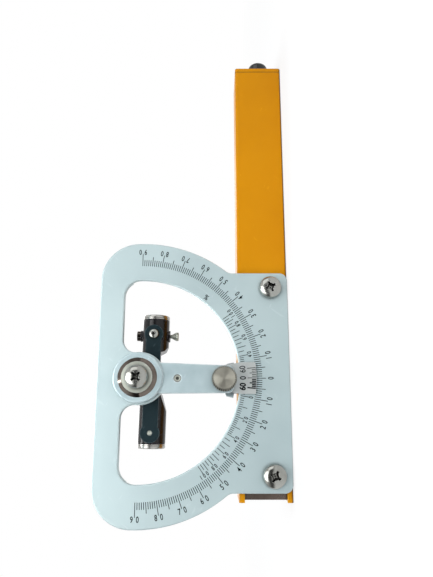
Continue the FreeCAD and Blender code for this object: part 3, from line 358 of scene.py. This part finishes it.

# In the painted and brushed finishes the third tone is the edge tone, mostly paler: partly wear, partly a
# painted highlight along the edges
FINISHES = {
    "yellow_paint": painted("yellow_paint", tone(203, 136, 3), tone(196, 129, 2), tone(230, 174, 30),
                            0.34, width=0.0004, least=0.8, depth=0.000003, shade_grime=0.9,
                            joint=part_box("sighting_tube")[1].x, Specular_IOR_Level=0.1),
    "black_finish": painted("black_finish", tone(17, 15, 18), tone(7, 6, 8), tone(84, 80, 92),
                            0.22, grain=2600.0, depth=0.000005, Specular_IOR_Level=0.35),
    "eyepiece_black": painted("eyepiece_black", tone(12, 13, 15), tone(5, 6, 7), tone(70, 72, 76),
                              0.13, grain=3000.0, depth=0.000002, width=0.0002, scratches=0.2,
                              Specular_IOR_Level=0.5),
    "white_enamel": painted("white_enamel", tone(185, 202, 204), tone(177, 195, 198), tone(226, 236, 238),
                            0.5, grain=3600.0, depth=0.000007, width=0.0005, least=0.8, shade_grime=0.5,
                            scratches=0.15, Metallic=0.7),
    "slate_paint": painted("slate_paint", tone(24, 42, 47), tone(16, 32, 37), tone(84, 102, 108),
                           0.4, grain=2600.0, depth=0.000006, Specular_IOR_Level=0.15),
    "arm_metal": painted("arm_metal", tone(182, 200, 204), tone(166, 186, 191), tone(232, 241, 243),
                         0.42, grain=3000.0, depth=0.000006, width=0.0006, broad=160.0, shade_grime=0.3,
                         Metallic=0.5),
    # A darker copy of arm_metal, with the painted shade reaching 3.5 mm from the arm and vernier plate: a
    # painted shadow on the clamp jaw
    "jaw_metal_shaded": painted("jaw_metal_shaded", tone(178, 194, 198), tone(158, 176, 181), tone(232, 241, 243),
                         0.42, grain=3000.0, depth=0.000006, broad=160.0, shade_grime=1.0, reach=0.0035,
                         Metallic=0.5),
    "vernier_metal": brushed("vernier_metal", tone(192, 197, 196), tone(174, 179, 178), tone(226, 228, 228),
                             0.5, shade_grime=0.5, Metallic=0.45),
    "satin_steel": brushed("satin_steel", tone(124, 112, 104), tone(64, 54, 50), tone(176, 168, 160),
                           0.24, Metallic=1.0),
    "knurled_steel": turned("knurled_steel", tone(190, 188, 176), tone(136, 134, 124), THUMB, 0.32,
                            depth=0.000006, shade_grime=1.0, reach=0.0025, Metallic=1.0, Anisotropic=0.9,
                            Anisotropic_Rotation=0.25),
    "screw_steel": brushed("screw_steel", tone(188, 190, 185), tone(132, 132, 127), tone(222, 222, 220),
                           0.2, lines=3000.0, depth=0.000002, width=0.00006, shade_grime=1.0, Metallic=1.0),
    "bright_chrome": turned("bright_chrome", tone(138, 129, 122), tone(66, 58, 52), PIVOT, 0.08,
                            depth=0.000003, Metallic=1.0),
    "washer_steel": turned("washer_steel", tone(196, 200, 190), tone(164, 168, 158), PIVOT, 0.42,
                           depth=0.000005, shade_grime=0.9, Metallic=0.6, Anisotropic=0.6,
                           Anisotropic_Rotation=0.25),
    "cap_chrome": turned("cap_chrome", tone(192, 192, 188), tone(150, 148, 144), CAPS, 0.26,
                         face=(0.0, math.pi / 2 - ARM_LEAN, 0.0), rings=12000.0, depth=0.000006,
                         Metallic=1.0),
    "bush_brass": turned("bush_brass", tone(196, 164, 98), tone(158, 126, 66), PIVOT, 0.28, Metallic=1.0),
    "clear_glass": clear("clear_glass", (0.95, 0.985, 0.975, 1.0), 0.02, 1.5),
    "silvered_glass": brushed("silvered_glass", tone(226, 229, 231), tone(212, 216, 219), tone(190, 200, 205),
                              0.04, depth=0.0000005, shade_grime=0.3, Metallic=1.0),
    "vial_spirit": clear("vial_spirit", (0.76, 0.93, 0.4, 1.0), 0.01, 1.36),
    "dial_ink": painted("dial_ink", tone(10, 20, 23), tone(5, 11, 13), tone(12, 22, 26), 0.6,
                        depth=0.000001, broad=700.0, shade_grime=0.0, scratches=0.0, Specular_IOR_Level=0.1),
}


def dress(piece, finish):
    """Gives the whole piece one finish."""
    piece.data.materials.clear()
    piece.data.materials.append(FINISHES[finish])


NODE_FINISH = {
    "yellow_paint": ("sighting_tube", "tube_end_cap"),
    "black_finish": ("eyepiece_barrel", "vial_housing", "mirror_holder"),
    "white_enamel": ("arc_plate",),
    "slate_paint": ("bubble_strap",),
    "arm_metal": ("index_arm",),
    "jaw_metal_shaded": ("clamp_jaw",),
    "vernier_metal": ("vernier_plate",),
    "satin_steel": ("objective_frame", "index_wire", "adjusting_post", "pivot_axle", "friction_washer"),
    "washer_steel": ("flat_washer", "adjusting_screw", "vial_hinge_pin"),
    "knurled_steel": ("thumb_screw",),
    "screw_steel": ("plate_screw_1", "plate_screw_2", "pivot_screw", "arm_set_screw", "post_screw",
                    "vernier_screw_1", "vernier_screw_2", "mirror_screw_1", "mirror_screw_2"),
    "bright_chrome": ("cone_washer", "vial_cap_1", "vial_cap_2", "adjusting_nut"),
    "bush_brass": ("pivot_bush",),
    "clear_glass": ("objective_glass", "eyepiece_lens", "vial_glass"),
    "silvered_glass": ("mirror",),
    "vial_spirit": ("vial_liquid",),
}
for finish, names in NODE_FINISH.items():
    for name in names:
        dress(nodes[name], finish)


# New pieces: made about their own axis, +Z toward the viewer, then placed

def smooth_by_angle(shape, degrees):
    """Smooth faces, with the edges that turn by more than the angle kept sharp."""
    for face in shape.faces:
        face.smooth = True
    limit = math.radians(degrees)
    for edge in shape.edges:
        if len(edge.link_faces) == 2 and edge.calc_face_angle() > limit:
            edge.smooth = False


def as_object(name, shape):
    """Turns the shape into an object of the scene, at the origin."""
    mesh = bpy.data.meshes.new(name)
    shape.to_mesh(mesh)
    shape.free()
    made = bpy.data.objects.new(name, mesh)
    bpy.context.scene.collection.objects.link(made)
    return made


def finished(name, shape, finish, body, *replaced, sharp=32.0, recalculate=True):
    """Turns the shape into a piece that rides on the body and stands for the CAD nodes named."""
    if recalculate:
        bmesh.ops.recalc_face_normals(shape, faces=shape.faces)
    smooth_by_angle(shape, sharp)
    piece = as_object(name, shape)
    dress(piece, finish)
    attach(piece, body)
    if replaced:
        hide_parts(*replaced)


def lathe(profile, steps=64):
    """Spins a profile of (radius, height) in millimetres round the Z axis and closes its poles."""
    shape = bmesh.new()
    points = [shape.verts.new((radius * MM, 0.0, height * MM)) for radius, height in profile]
    edges = [shape.edges.new(pair) for pair in zip(points, points[1:])]
    bmesh.ops.spin(shape, geom=points + edges, cent=(0, 0, 0), axis=(0, 0, 1), angle=2 * math.pi,
                   steps=steps, use_merge=True, dvec=(0, 0, 0), use_normal_flip=False, use_duplicate=False)
    bmesh.ops.remove_doubles(shape, verts=shape.verts, dist=1e-7)
    bmesh.ops.recalc_face_normals(shape, faces=shape.faces)
    return shape


LEANING = Matrix.Translation((0, 0, PIVOT_HEIGHT * MM)) @ Matrix.Rotation(ARM_LEAN, 4, "Y")


def on_arm(x, y, z):
    """Where a point of the arm lies in metres once the arm leans, with z measured from the pivot."""
    return LEANING @ Vector((x * MM, y * MM, z * MM))


def toward_front(place, turn=0.0):
    """Puts a piece's +Z axis toward the viewer at the place given in metres."""
    return Matrix.Translation(place) @ FACING_FRONT @ Matrix.Rotation(turn, 4, "Z")


# Dials: thin printed marks and numerals, tops toward the pivot

def dial_place(angle, radius, front):
    """Where a mark on the face goes, at an angle from straight below the pivot."""
    around = Matrix.Rotation(-angle, 4, "Y") @ FACING_FRONT
    centre = Matrix.Translation((0, (front - MARK_RISE) * MM, PIVOT_HEIGHT * MM))
    return centre @ around @ Matrix.Translation((0, -radius * MM, 0))


def add_tick(shape, angle, inner, outer, width, front):
    """A thin bar that runs outward from the inner radius to the outer one."""
    made = bmesh.ops.create_cube(shape, size=MM)["verts"]
    bmesh.ops.scale(shape, vec=(width, outer - inner, MARK_THICKNESS), verts=made)
    bmesh.ops.transform(shape, matrix=dial_place(angle, (inner + outer) / 2, front), verts=made)


def add_number(shape, words, angle, radius, height, front, narrow=0.86, weight=0.04):
    """Thin lettering of a cap height, drawn out by the weight on all sides."""
    size_of_height = 1.42
    curve = bpy.data.curves.new("numeral", "FONT")
    curve.body, curve.size = words, height * size_of_height * MM
    curve.align_x, curve.align_y = "CENTER", "CENTER"
    curve.extrude, curve.offset = MARK_THICKNESS / 2 * MM, weight * MM
    curve.resolution_u = 3
    holder = bpy.data.objects.new("numeral", curve)
    bpy.context.scene.collection.objects.link(holder)
    bpy.context.view_layer.update()
    flat = bpy.data.meshes.new_from_object(holder.evaluated_get(bpy.context.evaluated_depsgraph_get()))
    flat.transform(dial_place(angle, radius, front) @ Matrix.Diagonal((narrow, 1, 1, 1)))
    shape.from_mesh(flat)
    bpy.data.objects.remove(holder)
    bpy.data.meshes.remove(flat)
    bpy.data.curves.remove(curve)


def add_split_number(shape, number, angle, radius, height, spacing, front):
    """A number whose narrow digits stand apart, so that its mark passes between them."""
    digits = str(number)
    for place, digit in enumerate(digits):
        aside = (place - (len(digits) - 1) / 2) * spacing / radius
        add_number(shape, digit, angle + aside, radius, height, front, narrow=0.7)


def degree_dial():
    """Degrees from 90 through 0 to 90, with longer marks at the fives and tens."""
    ticks, numbers = bmesh.new(), bmesh.new()
    inner, short, middle, long, width = 35.59, 37.6, 38.7, 39.7, 0.2
    numeral_radius, numeral_height, spacing = 40.3, 1.7, 1.7
    for degree in range(-90, 91):
        outer = long if degree % 10 == 0 and degree else middle if degree % 5 == 0 else short
        add_tick(ticks, math.radians(degree), inner, outer, width, PLATE_FRONT)
    for degree in range(-90, 91, 10):
        add_split_number(numbers, abs(degree), math.radians(degree), numeral_radius, numeral_height,
                         spacing, PLATE_FRONT)
    finished("degree_marks", ticks, "dial_ink", "frame")
    finished("degree_numerals", numbers, "dial_ink", "frame", recalculate=False)


def slope_dial():
    """Slope in hundredths: its zero stands aside from the degree dial's, as its index does."""
    ticks, numbers = bmesh.new(), bmesh.new()
    inner, short, middle, long, width = 31.4, 32.6, 33.2, 34.1, 0.18
    numeral_radius, numeral_height, spacing = 34.65, 1.3, 1.1
    sign_angle, sign_height = 51.0, 1.6
    slopes = list(range(-40, 41, 2)) + [side * slope for side in (-1, 1) for slope in range(45, 101, 5)]
    for slope in slopes:
        angle = math.atan(slope / 100) - SLOPE_ZERO
        outer = long if slope % 10 == 0 else middle if abs(slope) > 40 else short
        add_tick(ticks, angle, inner, outer, width, PLATE_FRONT)
    for slope in range(-100, 101, 20):
        angle = math.atan(slope / 100) - SLOPE_ZERO
        add_split_number(numbers, abs(slope), angle, numeral_radius, numeral_height, spacing, PLATE_FRONT)
    add_number(numbers, "%", math.radians(sign_angle), short, sign_height, PLATE_FRONT)
    finished("slope_marks", ticks, "dial_ink", "frame")
    finished("slope_numerals", numbers, "dial_ink", "frame", recalculate=False)


def vernier_dial():
    """The vernier's marks, 50 minutes apart, and its 60 - 0 - 60."""
    ticks, numbers = bmesh.new(), bmesh.new()
    outer, short, middle, long = 35.65, 34.4, 33.7, 33.06
    numeral_radius, numeral_height = 31.75, 1.8
    for step in range(-6, 7):
        inner = long if step % 6 == 0 else middle if step % 3 == 0 else short
        width = 0.38 if step < 0 else 0.2
        add_tick(ticks, math.radians(step * 5 / 6), inner, outer, width, VERNIER_FRONT)
    for angle, words, weight in ((-4.7, "60", 0.1), (0, "0", 0.05), (4.7, "60", 0.02)):
        add_number(numbers, words, math.radians(angle), numeral_radius, numeral_height, VERNIER_FRONT,
                   weight=weight)
    finished("vernier_marks", ticks, "dial_ink", "arm")
    finished("vernier_numerals", numbers, "dial_ink", "arm", recalculate=False)


degree_dial()
slope_dial()
vernier_dial()


# Screws, knob, eyepiece and bubble fittings

def carve(shape, *cutters):
    """The shape with the cutters taken out of it, each a bmesh of its own."""
    holders = [as_object("blank", blank) for blank in (shape, *cutters)]
    for cutter in holders[1:]:
        cut = holders[0].modifiers.new("cut", "BOOLEAN")
        cut.operation, cut.solver, cut.object = "DIFFERENCE", "EXACT", cutter
    bpy.context.view_layer.update()
    result = bpy.data.meshes.new_from_object(
        holders[0].evaluated_get(bpy.context.evaluated_depsgraph_get()))
    carved = bmesh.new()
    carved.from_mesh(result)
    for holder in holders:
        bpy.data.meshes.remove(holder.data)
    bpy.data.meshes.remove(result)
    return carved


def tapered_prism(outline, top, bottom, shrink):
    """A closed outline in millimetres, run from top down to bottom and shrunk on the way."""
    shape = bmesh.new()
    face = shape.faces.new([shape.verts.new((x * MM, y * MM, top * MM)) for x, y in outline])
    lowered = bmesh.ops.extrude_face_region(shape, geom=[face], use_keep_orig=True)["geom"]
    verts = [item for item in lowered if isinstance(item, bmesh.types.BMVert)]
    bmesh.ops.scale(shape, vec=(shrink, shrink, 1), verts=verts)
    bmesh.ops.translate(shape, vec=(0, 0, (bottom - top) * MM), verts=verts)
    bmesh.ops.recalc_face_normals(shape, faces=shape.faces)
    return shape


def cross_outline(reach, half, flare):
    """A cross whose arms run out to the reach, and narrow or widen on the way by the flare."""
    tip = half * flare
    return [(half, half), (tip, reach), (-tip, reach), (-half, half), (-reach, tip), (-reach, -tip),
            (-half, -half), (-tip, -reach), (tip, -reach), (half, -half), (reach, -tip), (reach, tip)]


def pan_head(radius, height, shank, length):
    """The profile of a pan head screw, from the tip of its shank to its crown."""
    dome = [(radius * math.cos(turn) ** 0.62, height * (0.42 + 0.58 * math.sin(turn)))
            for turn in [math.radians(step * 10) for step in range(9)]]
    return [(0, -length), (shank - 0.2, -length), (shank, 0.2 - length), (shank, 0), (radius * 0.94, 0),
            (radius, height * 0.1)] + dome + [(0, height)]


def cross_head_screw(name, body, centre, radius, height, shank, length, turn, facing=1):
    """A pan head screw with a tapered cross recess, on its seat at the centre in metres."""
    reach, half = radius * 0.54, radius * 0.14
    cross = tapered_prism(cross_outline(reach, half, 0.8), height * 1.1, height * 0.3, 0.5)
    pit = lathe([(0, height * 1.1), (half * 2.3, height * 1.1), (half * 1.7, height * 0.6),
                 (0, height * 0.15)], 24)
    head = carve(lathe(pan_head(radius, height, shank, length)), cross, pit)
    bmesh.ops.transform(head, matrix=Matrix.Translation(centre)
                        @ Matrix.Rotation(facing * math.pi / 2, 4, "X")
                        @ Matrix.Rotation(math.radians(turn), 4, "Z"), verts=head.verts)
    finished(name + "_detail", head, "screw_steel", body, name, sharp=28.0)


cross_head_screw("plate_screw_1", "frame", (-0.0283, -0.01, 0.0056), 3.5, 2.6, 1.95, 4.9, 62)
cross_head_screw("plate_screw_2", "frame", (0.0283, -0.01, 0.0056), 3.5, 2.6, 1.95, 4.9, 24)
cross_head_screw("pivot_screw", "arm", (0, -0.0152, PIVOT_HEIGHT * MM), 3.45, 2.7, 1.95, 6.6, 44)
cross_head_screw("post_screw", "arm", on_arm(POST_ALONG, -5.8, -VIAL_DROP), 1.5, 1.0, 0.75, 3.9, 12)
cross_head_screw("mirror_screw_1", "frame", (-0.0038, 0.008, 0.0042), 1.7, 1.0, 1.0, 4.5, 30, -1)
cross_head_screw("mirror_screw_2", "frame", (0.00059, 0.008, 0.0042), 1.7, 1.0, 1.0, 4.5, 75, -1)


def set_screw():
    """A flush set screw with a six-sided socket, in its countersunk hole."""
    plug = lathe([(0, -1.5), (0.95, -1.5), (1.1, -1.35), (1.1, -0.12), (0.98, 0), (0, 0)], 40)
    reach = 0.58
    socket = [(reach * math.cos(math.radians(60 * side)), reach * math.sin(math.radians(60 * side)))
              for side in range(6)]
    plug = carve(plug, tapered_prism(socket, 0.3, -0.9, 0.94))
    bmesh.ops.transform(plug, matrix=toward_front(on_arm(0, -12.75, -11.9), 0.3), verts=plug.verts)
    finished("arm_set_screw_detail", plug, "washer_steel", "arm", "arm_set_screw", sharp=28.0)


set_screw()


def thumb_knob():
    """The clamp knob: straight knurling round its rim, turned face, and its shank behind."""
    teeth, radius, height = 34, 3.75, 4.5
    tooth_depth, foot_widening = 0.55, 1.06
    shape = bmesh.new()
    ring = bmesh.ops.create_circle(shape, segments=teeth * 4, radius=radius * MM)["verts"]
    for place, vert in enumerate(ring):
        if place % 4 in (0, 1):
            vert.co *= 1 - tooth_depth / radius
    bmesh.ops.scale(shape, vec=(1 / foot_widening, 1 / foot_widening, 1), verts=ring)
    edges = list(shape.edges)
    for rise, shrink in ((0.28, foot_widening), (height - 0.62, 1.0), (0.3, 0.955), (0.02, 0.86)):
        made = bmesh.ops.extrude_edge_only(shape, edges=edges)["geom"]
        verts = [item for item in made if isinstance(item, bmesh.types.BMVert)]
        edges = [item for item in made if isinstance(item, bmesh.types.BMEdge)]
        bmesh.ops.translate(shape, vec=(0, 0, rise * MM), verts=verts)
        bmesh.ops.scale(shape, vec=(shrink, shrink, 1), verts=verts)
    bmesh.ops.contextual_create(shape, geom=edges)
    bmesh.ops.contextual_create(shape, geom=[edge for edge in shape.edges if edge.is_boundary])
    shank = lathe([(0, -6.7), (1.3, -6.7), (1.5, -6.5), (1.5, 0), (3.5, 0), (3.68, 0.18), (3.68, 0.7),
                   (0, 0.72)], 76)
    mesh = bpy.data.meshes.new("shank")
    shank.to_mesh(mesh)
    shank.free()
    shape.from_mesh(mesh)
    bpy.data.meshes.remove(mesh)
    seat = (THUMB[0] * MM, -0.013, THUMB[2] * MM)
    bmesh.ops.transform(shape, matrix=toward_front(seat), verts=shape.verts)
    finished("thumb_screw_knurled", shape, "knurled_steel", "clamp_knob", "thumb_screw", sharp=24.0)


thumb_knob()


def adjusting_screw():
    """The level adjusting screw: a threaded shank, and a cone head slotted across its end."""
    foot, top, thread_start, pitch, turns = -10.89, 2.59, -8.4, 0.5, 21
    shank, root = 0.6, 0.5
    head = [(0, foot), (1.25, foot), (1.4, foot + 0.15), (1.4, foot + 0.8), (1.32, foot + 0.92),
            (shank, -8.6)]
    thread = []
    for turn in range(turns):
        start = thread_start + turn * pitch
        thread += [(shank, start), (shank, start + 0.08), (root, start + 0.25), (shank, start + 0.42)]
    shape = lathe(head + thread + [(shank, top - 0.1), (root, top), (0, top)], 28)
    slot = bmesh.new()
    made = bmesh.ops.create_cube(slot, size=MM)["verts"]
    bmesh.ops.scale(slot, vec=(0.4, 4, 1.2), verts=made)
    across = Matrix.Translation((0, 0, foot * MM)) @ Matrix.Rotation(0.6, 4, "Z")
    bmesh.ops.transform(slot, matrix=across, verts=made)
    shape = carve(shape, slot)
    bmesh.ops.transform(shape, matrix=LEANING @ Matrix.Translation((POST_ALONG * MM, 0, 0)),
                        verts=shape.verts)
    finished("adjusting_screw_threaded", shape, "washer_steel", "adjuster", "adjusting_screw", sharp=28.0)


adjusting_screw()


def eyepiece():
    """The eyepiece barrel: a rounded eye end with a peephole, and a grip groove behind it."""
    height, fillet = 7.3, 1.6
    rounding = [(1.9 + fillet * math.cos(math.radians(step)), 114.3 + fillet * math.sin(math.radians(step)))
                for step in range(0, 91, 10)]
    outline = [(2.7, 100.0), (3.35, 100.0), (3.5, 100.15), (3.5, 110.6), (3.38, 110.72), (3.38, 110.9),
               (3.5, 111.02)]
    outline += rounding
    outline += [(1.3, 115.9), (0.9, 115.4), (0.9, 114.75), (2.7, 114.7), (2.7, 100.0)]
    barrel = lathe(outline, 72)
    along = Matrix.Translation((0, 0, height * MM)) @ Matrix.Rotation(math.pi / 2, 4, "Y")
    bmesh.ops.transform(barrel, matrix=along, verts=barrel.verts)
    finished("eyepiece_barrel_turned", barrel, "eyepiece_black", "eyepiece", "eyepiece_barrel")


eyepiece()


def vial_fittings():
    """The bright end caps, with a turned groove and a dished end, and the lines on the vial."""
    cap = [(0, -1.35), (2.98, -1.35), (2.98, 0.02), (4.15, 0.02), (4.4, 0.22), (4.4, 0.5), (4.3, 0.58),
           (4.3, 0.66), (4.4, 0.74), (4.4, 1.28), (4.3, 1.48), (4.05, 1.6), (3.5, 1.6), (3.3, 1.5), (0, 1.42)]
    for number, side in enumerate((-1, 1), start=1):
        shape = lathe(cap, 72)
        end = Matrix.Translation((side * HOUSING_HALF_LENGTH * MM, 0, -VIAL_DROP * MM))
        outward = Matrix.Rotation(side * math.pi / 2, 4, "Y")
        bmesh.ops.transform(shape, matrix=LEANING @ end @ outward, verts=shape.verts)
        finished("vial_cap_%d_turned" % number, shape, "cap_chrome", "vial", "vial_cap_%d" % number)
    lines = bmesh.new()
    line_radius, line_width = 2.012, 0.16
    for along in (-3.3, -2.9, 2.2, 2.6):
        made = bmesh.ops.create_cone(lines, segments=48, radius1=line_radius * MM,
                                     radius2=line_radius * MM, depth=line_width * MM,
                                     cap_ends=False)["verts"]
        middle = Matrix.Translation((along * MM, 0, -VIAL_DROP * MM))
        bmesh.ops.transform(lines, matrix=LEANING @ middle @ Matrix.Rotation(math.pi / 2, 4, "Y"),
                            verts=made)
    finished("vial_lines", lines, "dial_ink", "vial")


vial_fittings()


# Studio: pale floor, a room to reflect, soft lamps, and the camera

def bright_rays(wire):
    """The outputs of the light path, and a mask of the rays of the camera, of gloss and of glass."""
    ray = wire.node("LightPath").outputs
    indirect = wire.math("MAXIMUM", ray["Is Glossy Ray"], ray["Is Transmission Ray"])
    return ray, wire.math("MAXIMUM", ray["Is Camera Ray"], indirect)


def pale(name, shadow):
    """A floor that bright rays see as white, with the share of shadow kept round the object."""
    material = bpy.data.materials.new(name)
    material.use_nodes = True
    wire = Wiring(material.node_tree.nodes, material.node_tree.links)
    wire.shelf.clear()
    seen = bright_rays(wire)[1]
    matt = wire.node("BsdfDiffuse", {"Color": (0.86, 0.86, 0.86, 1.0)}).outputs[0]
    glow = wire.node("Emission", {"Color": (1, 1, 1, 1), "Strength": 1.0}).outputs[0]
    reach = wire.node("VectorMath", {0: wire.here()}, operation="LENGTH")
    kept = wire.spread(reach.outputs["Value"], 0.12, 0.4, 1.0 - shadow, 1.0)
    share = wire.math("MULTIPLY", seen, kept)
    mixed = wire.node("MixShader", {0: share, 1: matt, 2: glow}).outputs[0]
    wire.node("OutputMaterial", {"Surface": mixed})
    return material


def stage_sheet(name, half, level, material):
    """A square sheet that isn't part of the object, in metres."""
    shape = bmesh.new()
    shape.faces.new([shape.verts.new((x * half, y * half, level))
                     for x, y in ((-1, -1), (1, -1), (1, 1), (-1, 1))])
    sheet = as_object(name, shape)
    sheet.data.materials.append(material)


FLOOR_GAP = 0.0001
stage_sheet("floor", 3.0, cad_box[0][2] - FLOOR_GAP, pale("pale_floor", 0.22))

world = bpy.data.worlds.new("studio")
bpy.context.scene.world = world
world.use_nodes = True
air = Wiring(world.node_tree.nodes, world.node_tree.links)
air.shelf.clear()
ray, seen = bright_rays(air)
# Gloss reflects a room that is bright behind the object and above it, and less so toward +X
way = air.node("SeparateXYZ", {0: air.node("TexCoord").outputs["Generated"]}).outputs
above = air.math("MAXIMUM", air.spread(way["Z"], 0.25, 0.75, 0.07, 1.0),
                 air.spread(way["X"], 0.35, 0.8, 0.0, 0.4))
room = air.math("MAXIMUM", air.spread(way["Y"], 0.05, 0.5), above)
through = air.math("MAXIMUM", ray["Is Camera Ray"], ray["Is Transmission Ray"])
dim = air.node("Background", {"Color": (0.9, 0.95, 1.0, 1.0), "Strength": 0.3}).outputs[0]
white = air.node("Background", {"Color": (1, 1, 1, 1),
                                "Strength": air.math("MAXIMUM", through, room)}).outputs[0]
air.node("OutputWorld", {"Surface": air.node("MixShader", {0: seen, 1: dim, 2: white}).outputs[0]})


def lamp(name, place, aim, size, power):
    """A white soft lamp at the place, turned to its aim, in metres and watts."""
    light = bpy.data.lights.new(name, "AREA")
    light.shape, light.size, light.size_y = "RECTANGLE", size[0], size[1]
    light.energy = power
    stand = bpy.data.objects.new(name, light)
    bpy.context.scene.collection.objects.link(stand)
    stand.location = place
    stand.visible_camera = False
    stand.rotation_euler = (Vector(aim) - Vector(place)).to_track_quat("-Z", "Y").to_euler()


lamp("key_lamp", (-0.03, -0.17, 0.23), (0.01, 0, 0.03), (0.26, 0.26), 0.74)
lamp("top_lamp", (-0.03, -0.05, 0.3), (0, 0, 0.04), (0.06, 0.06), 0.12)
lamp("front_lamp", (0.5, -0.45, 0.25), (0.03, 0, 0.03), (0.5, 0.4), 0.95)
lamp("back_lamp", (0.1, 0.5, 0.35), (0.03, 0, 0.02), (0.5, 0.4), 2.6)

lens = bpy.data.cameras.new("photo_view")
lens.lens, lens.sensor_width, lens.clip_start = 33.463, 36.0, 0.01
camera = bpy.data.objects.new("photo_view", lens)
bpy.context.scene.collection.objects.link(camera)
camera.location = (-0.0123009, -0.1753713, 0.0223512)
camera.rotation_euler = [math.radians(turn) for turn in (-152.775596, 89.901299, 103.476483)]
bpy.context.scene.camera = camera
bpy.context.scene.view_settings.view_transform = "Standard"
